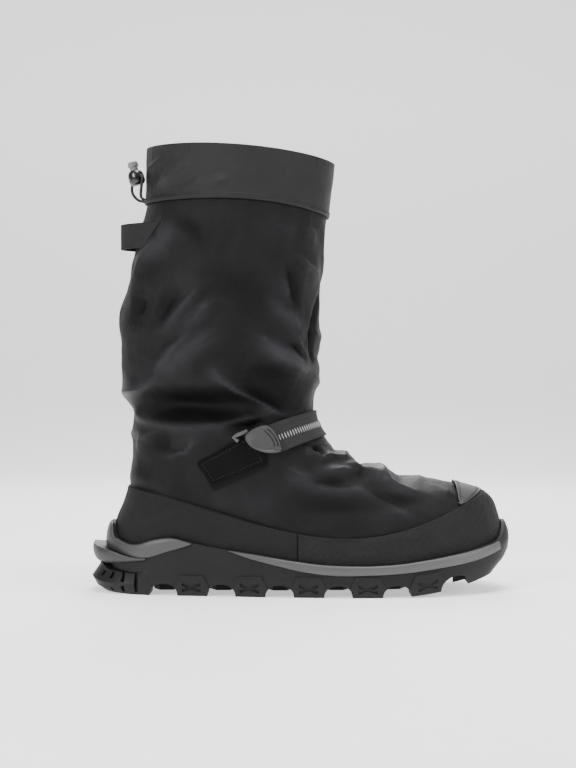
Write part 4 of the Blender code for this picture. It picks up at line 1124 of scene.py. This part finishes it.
def arch_pairs():
    """Cutters for the round arches between the edge lugs."""
    for x in ARCHES:
        for side in (1, -1):
            turn = turn_at(x, side)
            outer = foot_wall(turn, 0, INNER_LIFT + 4 * SOLE_WALL)
            inner = foot_wall(turn, 0, -LUG_DEPTH - TREAD_DEPTH)
            outline = []
            for angle in np.linspace(0, math.pi, 22):
                outline.append((ARCH_WIDTH / 2 * math.cos(angle), ARCH_HEIGHT * math.sin(angle) ** 0.8))
            outline += [(-ARCH_WIDTH / 2, -ARCH_HEIGHT), (ARCH_WIDTH / 2, -ARCH_HEIGHT)]
            rise = tread_height(x)
            slope = (tread_height(x + 0.005) - tread_height(x - 0.005)) / 0.01
            yield ([(x + a, outer[1], rise + slope * a + z) for a, z in outline],
                   [(x + a, inner[1], rise + slope * a + z) for a, z in outline])


def pad_outline(lower, middle, upper):
    """Six corners of a lug's face: across in half widths, and height."""
    rear = ((-1.15, lower), (-1.28, middle), (-0.80, upper))
    return (*rear, *((-a, z) for a, z in rear[::-1]))


def on_lug(x, side, across, height, lift):
    """A place on the outside of a lug: across it in half widths, height over the tread, and lift off it."""
    at = x + across * (LUG_PITCH - ARCH_WIDTH) / 2
    return wall_at_height(turn_at(at, side), tread_height(at) + height, lift)


def pad_pairs():
    """Raised six-sided face on the outside of each lug."""
    outline = pad_outline(*(share * PAD_HEIGHT for share in (0.05, 0.30, 1.00)))
    for x in LUGS:
        for side in (1, -1):
            yield ([on_lug(x, side, a, z, -0.5 * SOLE_WALL) for a, z in outline],
                   [on_lug(x, side, 0.985 * a, z, LUG_PAD) for a, z in outline])


CROSS_ARM = 0.62
CROSS_MIDDLE = 0.42
CROSS_LEAN = 0.16
GROOVE = 0.0019
GROOVE_DEPTH = 0.0016


def cross_pairs(lean):
    """Cutters for the grooves in the lugs' faces that lean one way."""
    ends = [(side * CROSS_ARM, (CROSS_MIDDLE + side * CROSS_LEAN * lean) * PAD_HEIGHT) for side in (-1, 1)]
    for x in LUGS:
        for side in (1, -1):
            low, high = [], []
            for (a, z), drop in ((ends[0], -1), (ends[1], -1), (ends[1], 1), (ends[0], 1)):
                low.append(on_lug(x, side, a, z + drop * GROOVE * 0.55, LUG_PAD - GROOVE_DEPTH))
                high.append(on_lug(x, side, a, z + drop * GROOVE * 0.8, LUG_PAD + 0.0012))
            yield low, high


HEEL_RIBS = 4
RIB_START = 0.462
RIB_PITCH = 0.017
RIB_CORNERS = ((-0.0022, 0.002), (0.0022, 0.002), (0.0022, 0.0175), (-0.0022, 0.0175))


def heel_rib_pairs():
    """Cutters for the upright grooves in the flared heel. Corners are in turns and metres."""
    for i in range(HEEL_RIBS):
        for side in (1, -1):
            turn = side * (RIB_START - RIB_PITCH * i) % 1.0
            low, high = [], []
            for da, z in RIB_CORNERS:
                low.append(wall_at_height(turn + da, z, -0.0016))
                high.append(wall_at_height(turn + da, z, 0.0030))
            yield low, high


def centre_lug_pairs():
    """Six-sided lugs down the middle of the tread, and small bars between them."""
    for x in ARCHES[:-1]:
        middle = (foot_wall(turn_at(x, 1), 0, 0)[1] + foot_wall(turn_at(x, -1), 0, 0)[1]) / 2
        half = LUG_PITCH * 0.26
        corners = np.radians(range(0, 360, 60))
        outline = [(half * math.cos(a), 1.15 * half * math.sin(a)) for a in corners]
        yield ([(x + 0.92 * a, middle + 0.92 * b, tread_height(x + a)) for a, b in outline],
               [(x + a, middle + b, tread_height(x + a) + 2 * TREAD_DEPTH) for a, b in outline])
        after = x + LUG_PITCH / 2
        bar = [(-0.0032, -0.011), (0.0032, -0.011), (0.0032, 0.011), (-0.0032, 0.011)]
        yield ([(after + a, middle + b, tread_height(after + a) + 0.0012) for a, b in bar],
               [(after + 1.2 * a, middle + b, tread_height(after + a) + 2 * TREAD_DEPTH) for a, b in bar])


def pocket_rings():
    """Hollow of the tread inside the edge lugs."""
    low, high = [], []
    for t in np.arange(84) / 84:
        x, y, _ = foot_wall(t, 0, -LUG_DEPTH)
        low.append((x, y, tread_height(x) - TREAD_DEPTH))
        high.append((x, y, tread_height(x) + TREAD_DEPTH))
    return low, high


# %% Sole
def build_sole():
    """The cup, with pads and lugs joined on and arches, grooves and the tread's hollow cut out."""
    rises = np.unique(np.concatenate([WALL["rise"], [0.04, 0.14, 0.28, 0.50, 0.65, 0.84, 0.97]]))
    rings = list(wall_point(SOLE_ROUND[None, :], rises[:, None]))
    bed, rim = bed_height(SOLE_ROUND), rim_height(SOLE_ROUND)
    for share in (1.0, 0.66, 0.33, 0.0):
        rings.append(foot_wall(SOLE_ROUND, bed + share * (rim - bed), INNER_LIFT))
    sole = link("sole_cup", ring_mesh("sole_cup", rings))
    boolean(sole, prisms("pads", pad_pairs()), "UNION")
    boolean(sole, prisms("crosses_up", cross_pairs(1)), "DIFFERENCE")
    boolean(sole, prisms("crosses_down", cross_pairs(-1)), "DIFFERENCE")
    boolean(sole, prisms("heel_ribs", heel_rib_pairs()), "DIFFERENCE")
    boolean(sole, prisms("arches", arch_pairs()), "DIFFERENCE")
    boolean(sole, ring_mesh("pocket", pocket_rings()), "DIFFERENCE")
    boolean(sole, prisms("centre_lugs", centre_lug_pairs()), "UNION")
    shade(sole.data, 28)
    sole.data.materials.clear()
    sole.data.materials.append(SOLE_RUBBER)
    finish_piece(sole, "outsole")
    print("sole faces:", len(sole.data.polygons))


def sole_rubber():
    """Black rubber with a mottled painted highlight that makes it paler at the toe bumper and low on the lugs.
    """
    made = Finish("sole_rubber", (0.0075, 0.0073, 0.0077), 0.58, Specular_IOR_Level=0.24)
    split = made.node("ShaderNodeSeparateXYZ", {"Vector": made.place()})
    # painted highlight: paler towards the toe bumper and near the floor, mottled by clouds
    toe = made.span(split.outputs["X"], 0.0, 1.0, 0.100, 0.165)
    low = made.span(split.outputs["Z"], 0.45, 0.0, 0.002, 0.016)
    clouds = made.noise(0.016, 4.0)
    painted_highlight_toe_and_low = made.maths("MULTIPLY", made.maths("MAXIMUM", toe, low), made.span(clouds, 0.55, 1.15))
    made.tint(painted_highlight_toe_and_low, 0.85, 2.15)
    made.rough(clouds, 0.50, 0.64)
    made.bump(made.noise(0.0012, 2.0), 0.00012)
    return made.material


SOLE_RUBBER = sole_rubber()
build_sole()

# %% [markdown]
# ## Grey bands, heel cradle and kick spur
# Grey rubber is moulded over the black wall: a bead along the forefoot, a cradle round the heel and a ledge
# for treading the overshoe off. Each is a loft through small rounded sections that ride on the wall.

# %% Grey rubber
def rounded_band(steps=7):
    """Section of a band: height between its lower line and the rim, and how proud it stands."""
    angles = np.linspace(0, math.pi, steps)
    front = [(0.5 - 0.5 * math.cos(a), 0.40 + 0.60 * math.sin(a) ** 0.6) for a in angles]
    return [(0.0, 0.0), *front, (1.0, 0.0), (0.66, 0.0), (0.33, 0.0)]


def build_band(name, node, start, end, line, count):
    """A grey band between a line on the wall and the rim, from one turn to another."""
    turns = np.linspace(start, end, count)[:, None]
    share, proud = np.array(rounded_band()).T
    low, high = line_height(line, turns), rim_height(turns) - GAP
    sections = wall_at_height(turns, low + share * (high - low), 0.7 * SOFT_GAP + proud * BAND_WALL)
    finish_piece(loft_piece(name, sections, BAND_GREY), node)


def band_grey():
    """Grey rubber with a painted highlight that makes it paler towards the toe."""
    made = Finish("band_grey", (0.047, 0.0455, 0.047), 0.48)
    split = made.node("ShaderNodeSeparateXYZ", {"Vector": made.place()})
    # painted highlight: paler towards the toe, plus random tone from the clouds
    ahead = made.span(split.outputs["X"], 0.0, 1.0, -0.150, 0.150)
    made.tint(made.maths("ADD", ahead, made.span(made.noise(0.02), -0.15, 0.15)), 0.80, 1.60)
    made.bump(made.noise(0.0012, 2.0), 0.00008)
    return made.material


BAND_GREY = band_grey()
FRONT, REAR = FLANK_LINE["round"][0] / 2, FLANK_LINE["round"][-1] / 2
CRADLE_START = CRADLE_LINE["round"][0] / 2
build_band("flank_bead_lateral", "flank_band_lateral", FRONT, REAR, FLANK_LINE, 90)
build_band("flank_bead_medial", "flank_band_medial", 1 - REAR, 1 - FRONT, FLANK_LINE, 90)
build_band("heel_cup", "heel_cradle", CRADLE_START, 1 - CRADLE_START, CRADLE_LINE, 120)

# %% Kick spur
SPUR_START = 0.80
SPUR_SECTION = ((0.0, 0.0), (0.25, 0.0), (0.62, 0.038), (0.95, 0.055), (1.02, 0.02), (1.02, -0.05),
                (0.93, -0.11), (0.80, -0.15), (0.45, -0.175), (0.0, -0.175))
spur_turns = np.linspace(SPUR_START / 2, 1 - SPUR_START / 2, 70)[:, None]
spur_size = 0.12 + 0.88 * eased((round_share(spur_turns) - SPUR_START) / (1 - SPUR_START) * 1.5)
spur_reach, spur_height = np.array(SPUR_SECTION).T
spur_sections = wall_at_height(
    spur_turns,
    line_height(CRADLE_LINE, spur_turns) - SOFT_GAP + spur_height * spur_size * RIM_HEIGHT,
    SOFT_GAP + spur_reach * spur_size * SPUR_REACH,
)
finish_piece(loft_piece("tread_off_ledge", spur_sections, DARK_GREY_RUBBER), "kick_spur")
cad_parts["insole"].data.materials.clear()
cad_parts["insole"].data.materials.append(FOOTBED)
print("spur sections:", len(spur_sections))

# %% [markdown]
# ## Toe patch, strap and pull loop
# These overlays lie on the upper's function too. The patch has a raised border that is sewn twice. The strap
# is ribbed webbing with a ladder of pale rungs, and the loop is webbing sewn behind the shaft.

# %% Toe patch
TOE_PATCH_TURN = 0.084
TOE_PATCH_BACK = 0.865
TOE_PATCH_BOW = 0.006


def patch_place(across, up):
    """Places on the toe patch from shares: across from medial to lateral, and up from front to back."""
    across, up = np.broadcast_arrays(np.asarray(across, float), np.asarray(up, float))
    turn = TOE_PATCH_TURN * across
    edge = (TOE_PATCH_BACK + TOE_PATCH_BOW * across**2 - 0.5) * SOLE_LENGTH
    levels = np.linspace(RAND_TOP, RAND_TOP + 4, 81)
    back = crossing(-upper_surface(turn[..., None], levels)[..., 0], levels, -edge)
    back = np.maximum(RAND_TOP + 0.25, back)
    return turn, RAND_TOP + 0.06 + up * (back - RAND_TOP - 0.06)


def border(across, up, width=0.10):
    """1 along the border of a unit square, 0 inside."""
    inside = np.minimum(1 - np.abs(across), np.minimum(2 * up, 2 * (1 - up)))
    return 1 - eased((inside - 0.6 * width) / (0.5 * width))


def build_toe_patch(rows=40, columns=120):
    across, up = np.meshgrid(np.linspace(-1, 1, columns), np.linspace(0, 1, rows))
    grid = upper_lifted(*patch_place(across, up), SOFT_GAP + PATCH_WALL + 0.0006 * border(across, up))
    patch = grid_piece("toe_cap_patch", grid, False, COATING, PATCH_WALL)
    finish_piece(patch, "toe_patch")


build_toe_patch()

# %% Strap
def walk(turn, level, heading, distance):
    """Moves over the upper's surface along a heading, and gives the turn and level it reaches."""
    for _ in range(4):
        _, across, up = slopes(turn, level)
        step = heading * np.asarray(distance)[..., None] / 4
        aa, bb, ab = (across**2).sum(-1), (up**2).sum(-1), (across * up).sum(-1)
        sa, sb = (step * across).sum(-1), (step * up).sum(-1)
        scale = aa * bb - ab**2
        turn, level = turn + (sa * bb - sb * ab) / scale, level + (sb * aa - sa * ab) / scale
    return turn, level


def strap_place(turns, share, lift):
    """Points over the strap: share of its width from its middle, and lift off the upper."""
    turns, share = np.broadcast_arrays(np.asarray(turns, float), np.asarray(share, float))
    own = turns[0] if turns.ndim > 1 else turns
    level, after, before = (np.array([strap_level(t + d) for t in own]) for d in (0, 1e-3, -1e-3))
    along = upper_surface(own + 1e-3, after) - upper_surface(own - 1e-3, before)
    heading = -np.cross(along / np.linalg.norm(along, axis=-1, keepdims=True), outward(own, level))
    at = walk(turns, np.broadcast_to(level, turns.shape), np.broadcast_to(heading, (*turns.shape, 3)),
              share * STRAP_WIDTH)
    return upper_lifted(*at, np.broadcast_to(lift, turns.shape))


def build_strap(rows=15, columns=110):
    turns, share = np.meshgrid(np.linspace(*STRAP_ENDS, columns), np.linspace(0.5, -0.5, rows))
    selvedge = 0.0003 * eased((np.abs(share) - 0.38) / 0.08)
    grid = strap_place(turns, share, SOFT_GAP + STRAP_THICKNESS + selvedge)
    strap = grid_piece("strap_webbing", grid, False, WEBBING, STRAP_THICKNESS)
    finish_piece(strap, "instep_strap")


build_strap()

# %% Pull loop
LOOP_FOOT = 0.769
LOOP_FRONT, LOOP_SLANT = 0.133, 0.042
LOOP_BACK = 0.067


def build_loop(rows=13, columns=90):
    """Webbing sewn to the shaft at both ends, which stands off behind it."""
    grid = np.zeros((rows, columns, 3))
    for r, share in enumerate(np.linspace(0, 1, rows)):
        height = LOOP_FOOT * OVERSHOE_HEIGHT + share * LOOP_WIDTH
        end_x = (LOOP_FRONT + share * LOOP_SLANT - 0.5) * SOLE_LENGTH
        search = np.linspace(0.25, 0.5, 60)
        at = level_at(search, height, HIGH_LEVELS)
        first = float(np.interp(-end_x, -upper_surface(search, at)[:, 0], search))
        turns = np.linspace(first, 1 - first, columns)
        level = level_at(turns, height, HIGH_LEVELS)
        free = eased((np.minimum(turns, 1 - turns) - first) / (0.5 - first) * 1.1 - 0.12)
        held = SOFT_GAP + LOOP_THICKNESS
        reach = float(upper_surface(0.5, at[-1])[0]) - (LOOP_BACK - 0.5) * SOLE_LENGTH
        lift = held + (reach - held) * free
        grid[r] = upper_surface(turns, level) + lift[:, None] * plan_outward(turns, level)
    loop = grid_piece("heel_pull_loop", grid, False, LOOP_WEBBING, LOOP_THICKNESS)
    finish_piece(loop, "pull_loop")


build_loop()
print("overlays placed")

# %% [markdown]
# ## The buckle
# A moulded tab lies over the strap's black tail, held by a wire frame on a sewn patch. The patch and the tail
# are sheets between four corners. The tab is lofted from a rounded outline: a thick lower body, a raised rim
# and a shallow dished face with two curved slots.

# %% Patch and tail
HEM = 0.00025


def flank_place(corners, u, v):
    """turn and level inside four corners on the lateral side: u forward and v up, from 0 to 1."""
    low_rear, low_front, high_front, high_rear = np.array(corners) * (SOLE_LENGTH, OVERSHOE_HEIGHT)
    u, v = u[..., None], v[..., None]
    low = low_rear + u * (low_front - low_rear)
    high = high_rear + u * (high_front - high_rear)
    spot = low + v * (high - low)
    return on_upper("lateral", spot[..., 0], spot[..., 1])


def flank_sheet(name, node, corners, lift, thickness, finish, columns=60, rows=34):
    """A thin piece with a hem, between four corners on the lateral side."""
    u, v = np.meshgrid(np.linspace(1, 0, columns), np.linspace(0, 1, rows))
    grid = upper_lifted(*flank_place(corners, u, v), lift + thickness + HEM * border(2 * u - 1, v, 0.14))
    finish_piece(grid_piece(name, grid, False, finish, thickness), node)


VIEWS["lateral"] = ((0, 2), ((0.25, 10.0),))  # the buckle is far from the other starts
TAIL_LIFT = SOFT_GAP + PATCH_WALL + GAP + 0.0003
flank_sheet("anchor_patch", "buckle_patch", PATCH_CORNERS, SOFT_GAP, PATCH_WALL, BLACK_TAPE)
flank_sheet("tail_tape", "strap_tail", TAIL_CORNERS, TAIL_LIFT, TAIL_THICKNESS, TAIL_BLACK)

# %% Tab and frame
TAB_CENTRE = (-0.0923, 0.343)
TAB_OUTLINE = ((-0.50, 0.10), (-0.28, 0.29), (-0.01, 0.39), (0.17, 0.365), (0.37, 0.12), (0.50, -0.215),
               (0.455, -0.36), (0.137, -0.385), (-0.20, -0.29), (-0.42, -0.12))
TAB_SLOTS = (((0.02, 0.25), (0.26, 0.08), (0.33, -0.20)), ((0.12, 0.30), (0.36, 0.10), (0.42, -0.19)))
TAB_STEPS = ((0.0, 0.90), (0.12, 0.98), (0.45, 1.0), (0.80, 1.0), (0.96, 0.97), (1.0, 0.92), (1.0, 0.86),
             (0.86, 0.80), (0.84, 0.40))
SLOT_HALF = 0.020
TAB_FOOT = TAIL_LIFT - 0.0003 + TAIL_THICKNESS + GAP + TAB_STANDOFF
tab_turn, tab_level = on_upper("lateral", TAB_CENTRE[0] * SOLE_LENGTH, TAB_CENTRE[1] * OVERSHOE_HEIGHT)
tab_base, tab_normal = upper_surface(tab_turn, tab_level), outward(tab_turn, tab_level)
tab_forward = np.array([1.0, -tab_normal[0] / tab_normal[1], 0.0])
tab_upward = np.array([0.0, -tab_normal[2] / tab_normal[1], 1.0])


def tab_point(u, v, height):
    """A place on the tab: forward and up in tab lengths, and height over the cloth."""
    return tab_base + (u * tab_forward + v * tab_upward) * TAB_LENGTH + height * tab_normal


def closed_curve(outline, count):
    """Points of a smooth closed curve through an outline's points."""
    around = np.array([*outline[-3:], *outline, *outline[:3]])
    stations = np.arange(len(around), dtype=float)
    places = 3 + np.arange(count) * len(outline) / count
    return np.stack([smooth(places, stations, around[:, 0]), smooth(places, stations, around[:, 1])], -1)


def slot_pairs():
    """Cutters for the two curved slots in the tab's face."""
    for start, middle, end in np.array(TAB_SLOTS):
        t = np.linspace(0, 1, 15)[:, None]
        line = (1 - t) ** 2 * start + 2 * t * (1 - t) * middle + t**2 * end
        across = np.gradient(line, axis=0)
        across = np.stack([-across[:, 1], across[:, 0]], -1) / np.linalg.norm(across, axis=1, keepdims=True)
        edge = [*(line + SLOT_HALF * across), *(line - SLOT_HALF * across)[::-1]]
        yield ([tab_point(u, v, TAB_FOOT + 0.45 * TAB_THICKNESS) for u, v in edge],
               [tab_point(u, v, TAB_FOOT + 1.6 * TAB_THICKNESS) for u, v in edge])


outline = closed_curve(TAB_OUTLINE, 96)
tab_sections = [[tab_point(u * size, v * size, TAB_FOOT + rise * TAB_THICKNESS) for u, v in outline]
                for rise, size in TAB_STEPS]
tab = loft_piece("buckle_lever", tab_sections, TAB_PLASTIC)
boolean(tab, prisms("slots", slot_pairs()), "DIFFERENCE")
shade(tab.data, 30)
finish_piece(tab, "buckle_tab")
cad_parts["buckle_frame"].data.materials.clear()
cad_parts["buckle_frame"].data.materials.append(PALE_PLASTIC)
print("tab width mm:", round(float(np.ptp(outline[:, 0])) * TAB_LENGTH * 1000, 1))

# %% [markdown]
# ## Drawcord and lock
# A thin cord comes out under the cuff, runs up through a spring lock and back. The lock is turned, with a
# waist and a grooved cap that a thumb presses. The cap's stem slides in the lock's recess and stops short of
# the cord, so nothing cuts through at either end of its motion. The cord is a round tube on the model's own
# route.

# %% Cord lock
LOCK_LEAN = math.radians(15)
LOCK_AXIS = Vector((-math.sin(LOCK_LEAN), 0.0, math.cos(LOCK_LEAN)))
LOCK_CENTRE = Vector((-0.3945 * SOLE_LENGTH, -0.035 * SOLE_WIDTH, 0.9330 * OVERSHOE_HEIGHT))
LOCK_PROFILE = (
    (-0.50, 0.30), (-0.50, 0.50), (-0.44, 0.78), (-0.34, 0.92), (-0.25, 0.98), (-0.12, 1.0),
    (-0.10, 0.94), (-0.04, 0.94), (-0.02, 1.0), (0.10, 0.97), (0.22, 0.92), (0.32, 0.82),
    (0.38, 0.74), (0.42, 0.62), (0.42, 0.56), (0.11, 0.55),
)
CAP_PROFILE = (
    (0.0047, 0.0034), (0.0088, 0.0034), (0.0090, 0.0042), (0.0094, 0.0044), (0.0112, 0.0044),
    (0.0114, 0.0042), (0.0118, 0.0042), (0.0122, 0.0044), (0.0124, 0.0042), (0.0129, 0.0037),
    (0.0127, 0.0020),
)


def turned(name, profile, finish, sides=48):
    """A piece turned about the lock's axis, from heights and radii."""
    side = Vector((0, 1, 0))
    third = LOCK_AXIS.cross(side).normalized()
    spokes = [side * math.cos(a) + third * math.sin(a) for a in np.arange(sides) * 2 * math.pi / sides]
    sections = [[LOCK_CENTRE + LOCK_AXIS * h + s * r for s in spokes] for h, r in profile]
    return loft_piece(name, sections, finish)


lock_profile = [(h * LOCK_HEIGHT, r * LOCK_RADIUS) for h, r in LOCK_PROFILE]
finish_piece(turned("spring_lock", lock_profile, LOCK_PLASTIC), "cord_lock")
finish_piece(turned("lock_cap", CAP_PROFILE, CAP_PLASTIC), "lock_button", "button")

# %% Drawcord
CORD_AXIS = np.array([0.60, -0.80, 0.60 * math.tan(LOCK_LEAN)])
CORD_AXIS /= np.linalg.norm(CORD_AXIS)
CORD_ROUTE = (
    (-0.3735, -0.080, 0.880),
    (-0.3795, -0.090, 0.884),
    (-0.3800, -0.110, 0.905),
    (-0.3770, -0.118, 0.930),
    (-0.4070, 0.045, 0.922),
    (-0.4070, 0.040, 0.902),
    (-0.3920, 0.035, 0.884),
    (-0.3750, 0.030, 0.880),
)


def cord_route():
    """The cord's middle line: out under the cuff, through the lock and back."""
    spots = np.array(CORD_ROUTE) * (SOLE_LENGTH, SOLE_WIDTH, OVERSHOE_HEIGHT)
    through = np.array(LOCK_CENTRE)
    step = 0.9 * LOCK_RADIUS * CORD_AXIS
    spots = np.insert(spots, len(spots) // 2, [through + step, through, through - step], axis=0)
    lengths = np.concatenate([[0], np.cumsum(np.linalg.norm(np.diff(spots, axis=0), axis=1))])
    places = np.linspace(0, lengths[-1], 44)
    return np.stack([smooth(places, lengths, spots[:, i]) for i in range(3)], -1)


def tube(name, route, diameter, finish):
    """A round cord along a route."""
    curve = bpy.data.curves.new(name, "CURVE")
    curve.dimensions = "3D"
    curve.bevel_depth = diameter / 2
    curve.bevel_resolution = 4
    curve.use_fill_caps = True
    spline = curve.splines.new("POLY")
    spline.points.add(len(route) - 1)
    for point, spot in zip(spline.points, route):
        point.co = (*spot, 1.0)
    curve.materials.append(finish)
    return link(name, curve)


ROUTE = cord_route()
cord = finish_piece(tube("collar_cord", ROUTE, CORD_DIAMETER, CORD_YARN), "draw_cord")

# %% [markdown]
# ## Stitches and ladder rungs
# Hundreds of stitches follow the seams. Each could be placed by hand, but a small Geometry Nodes tree does it
# from the seam's line: it walks the line in even steps, puts a short thread at each step, turned along the
# line and away from the cloth, and makes the result real. The ladder's rungs use the same tree, turned
# across.

# %% A tree that sews
def sewing_tree():
    """Short round bars at even steps along lines. Inputs: pitch, length, width, turn and finish."""
    tree = bpy.data.node_groups.new("sewing", "GeometryNodeTree")
    face = tree.interface
    face.new_socket("Geometry", in_out="INPUT", socket_type="NodeSocketGeometry")
    for name in ("Pitch", "Length", "Width", "Turned"):
        face.new_socket(name, in_out="INPUT", socket_type="NodeSocketFloat")
    face.new_socket("Finish", in_out="INPUT", socket_type="NodeSocketMaterial")
    face.new_socket("Geometry", in_out="OUTPUT", socket_type="NodeSocketGeometry")
    new, join = tree.nodes.new, tree.links.new
    start, end = new("NodeGroupInput"), new("NodeGroupOutput")
    curve, even = new("GeometryNodeMeshToCurve"), new("GeometryNodeResampleCurve")
    even.mode = "LENGTH"
    join(start.outputs["Geometry"], curve.inputs["Mesh"])
    join(curve.outputs["Curve"], even.inputs["Curve"])
    join(start.outputs["Pitch"], even.inputs["Length"])
    bar = new("GeometryNodeMeshUVSphere")
    bar.inputs["Segments"].default_value = 6
    bar.inputs["Rings"].default_value = 4
    bar.inputs["Radius"].default_value = 0.5
    size = new("ShaderNodeCombineXYZ")
    join(start.outputs["Length"], size.inputs["X"])
    join(start.outputs["Width"], size.inputs["Y"])
    join(start.outputs["Width"], size.inputs["Z"])
    away = new("GeometryNodeInputNamedAttribute")
    away.data_type = "FLOAT_VECTOR"
    away.inputs["Name"].default_value = "away"
    tangent = new("GeometryNodeInputTangent")
    first, second = (new("FunctionNodeAlignRotationToVector") for _ in range(2))
    first.axis, second.axis, second.pivot_axis = "Z", "X", "Z"
    join(away.outputs["Attribute"], first.inputs["Vector"])
    join(first.outputs["Rotation"], second.inputs["Rotation"])
    join(tangent.outputs["Tangent"], second.inputs["Vector"])
    spin, twist = new("FunctionNodeRotateRotation"), new("FunctionNodeAxisAngleToRotation")
    spin.rotation_space = "LOCAL"
    join(start.outputs["Turned"], twist.inputs["Angle"])
    join(second.outputs["Rotation"], spin.inputs["Rotation"])
    join(twist.outputs["Rotation"], spin.inputs["Rotate By"])
    threads = new("GeometryNodeInstanceOnPoints")
    join(even.outputs["Curve"], threads.inputs["Points"])
    join(bar.outputs["Mesh"], threads.inputs["Instance"])
    join(spin.outputs["Rotation"], threads.inputs["Rotation"])
    join(size.outputs["Vector"], threads.inputs["Scale"])
    real, paint = new("GeometryNodeRealizeInstances"), new("GeometryNodeSetMaterial")
    join(threads.outputs["Instances"], real.inputs["Geometry"])
    join(real.outputs["Geometry"], paint.inputs["Geometry"])
    join(start.outputs["Finish"], paint.inputs["Material"])
    join(paint.outputs["Geometry"], end.inputs["Geometry"])
    return tree


SEWING = sewing_tree()


def sew(name, lines, finish, pitch=0.0032, length=0.0023, width=0.0006, turned_by=0.0):
    """Stitches along lines of points, each given with the direction away from the cloth."""
    points, edges, away = [], [], []
    for line, normals in lines:
        edges += [(len(points) + i, len(points) + i + 1) for i in range(len(line) - 1)]
        points += [tuple(p) for p in line]
        away += [tuple(n) for n in normals]
    mesh = bpy.data.meshes.new(name)
    mesh.from_pydata(points, edges, [])
    away_from = mesh.attributes.new("away", "FLOAT_VECTOR", "POINT")
    away_from.data.foreach_set("vector", np.array(away, np.float32).ravel())
    made = link(name, mesh)
    step = made.modifiers.new("sewing", "NODES")
    step.node_group = SEWING
    values = {"Pitch": pitch, "Length": length, "Width": width, "Turned": turned_by, "Finish": finish}
    for socket in SEWING.interface.items_tree:
        if socket.in_out == "INPUT" and socket.name in values:
            step[socket.identifier] = values[socket.name]
    graph = bpy.context.evaluated_depsgraph_get()
    made.data = bpy.data.meshes.new_from_object(made.evaluated_get(graph))
    made.modifiers.clear()
    made.data.materials.clear()
    made.data.materials.append(finish)
    made.data.polygons.foreach_set("material_index", [0] * len(made.data.polygons))
    made.data.shade_smooth()
    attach(made, "overshoe")
    print(name, "faces:", len(made.data.polygons))


# %% Seam lines
def upper_line(turns, levels, lift):
    """A line over the upper with its outward directions."""
    turns, levels = np.broadcast_arrays(np.asarray(turns, float), np.asarray(levels, float))
    normal = outward(turns, levels)
    return upper_surface(turns, levels) + lift * normal, normal


THREAD_LIFT = 0.0002
RAND_TURNS = np.linspace(0.0, 1.0, 300)
rand_lift = GAP + RAND_WALL + THREAD_LIFT
rand_seams = [upper_line(RAND_TURNS, RAND_TOP - 0.16, rand_lift)]
for side in (1, -1):
    for shift in (-0.0022, 0.0022):
        levels = np.linspace(1.2, RAND_TOP - 0.3, 24)
        turns = np.array([turn_at(RAND_SEAM_X + shift, side, level) for level in levels])
        rand_seams.append(upper_line(turns, levels, rand_lift))
sew("rand_stitches", rand_seams, BLACK_THREAD)
cuff_seam = upper_line(RAND_TURNS, CUFF_FOOT + 0.11, GAP + CUFF_WALL + 0.0006)
sew("cuff_stitches", [cuff_seam], BLACK_THREAD)


def patch_line(inset):
    """The border of the toe patch, set in by a share."""
    edge = 1 - inset
    around = [(a, inset) for a in np.linspace(-1 + inset, edge, 50)]
    around += [(edge, v) for v in np.linspace(inset, edge, 14)]
    around += [(a, edge) for a in np.linspace(edge, -1 + inset, 50)]
    around += [(-1 + inset, v) for v in np.linspace(edge, inset, 14)]
    return upper_line(*patch_place(*np.array(around).T), SOFT_GAP + PATCH_WALL + 0.0003)


sew("patch_stitches", [patch_line(0.10), patch_line(0.17)], BLACK_THREAD,
    0.0022, 0.0015, 0.0005)
rung_turns = np.linspace(STRAP_ENDS[1] - 0.012, 0.012, 80)
rung_line = strap_place(rung_turns, 0.03, SOFT_GAP + STRAP_THICKNESS + 0.0004)
rung_away = np.array([outward(t, strap_level(t)) for t in rung_turns])
sew("ladder_rungs", [(rung_line, rung_away)], LADDER_YARN,
    0.0026, 0.0058, 0.0011, math.pi / 2)
strap_edges = []
for share in (-0.40, 0.40):
    turns = np.linspace(*STRAP_ENDS, 80)
    line = strap_place(turns, share, SOFT_GAP + STRAP_THICKNESS + THREAD_LIFT)
    strap_edges.append((line, np.array([outward(t, strap_level(t)) for t in turns])))
sew("strap_stitches", strap_edges, GREY_THREAD, 0.0030, 0.0020, 0.0005)


def flank_line(corners, inset, lift):
    """A line round a patch between four corners, set in by a share."""
    square = [(inset, inset), (1 - inset, inset), (1 - inset, 1 - inset), (inset, 1 - inset), (inset, inset)]
    spots = [(u0 + s * (u1 - u0), v0 + s * (v1 - v0))
             for (u0, v0), (u1, v1) in zip(square[:-1], square[1:]) for s in np.linspace(0, 1, 14)]
    return upper_line(*flank_place(corners, *np.array(spots).T), lift)


tail_seam = flank_line(TAIL_CORNERS, 0.08, TAIL_LIFT + TAIL_THICKNESS + THREAD_LIFT)
sew("tail_stitches", [tail_seam], BLACK_THREAD, 0.0030, 0.0020, 0.0005)

# %% [markdown]
# ## Sizes and finish
# The visual model has to stay in the model's own box, apart from the little that cloth may stand proud.

# %% Finish
VISUAL_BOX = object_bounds()
print("boxes (mm):", [[round(v * 1000, 1) for v in corner] for corner in (*CAD_BOX, *VISUAL_BOX)])
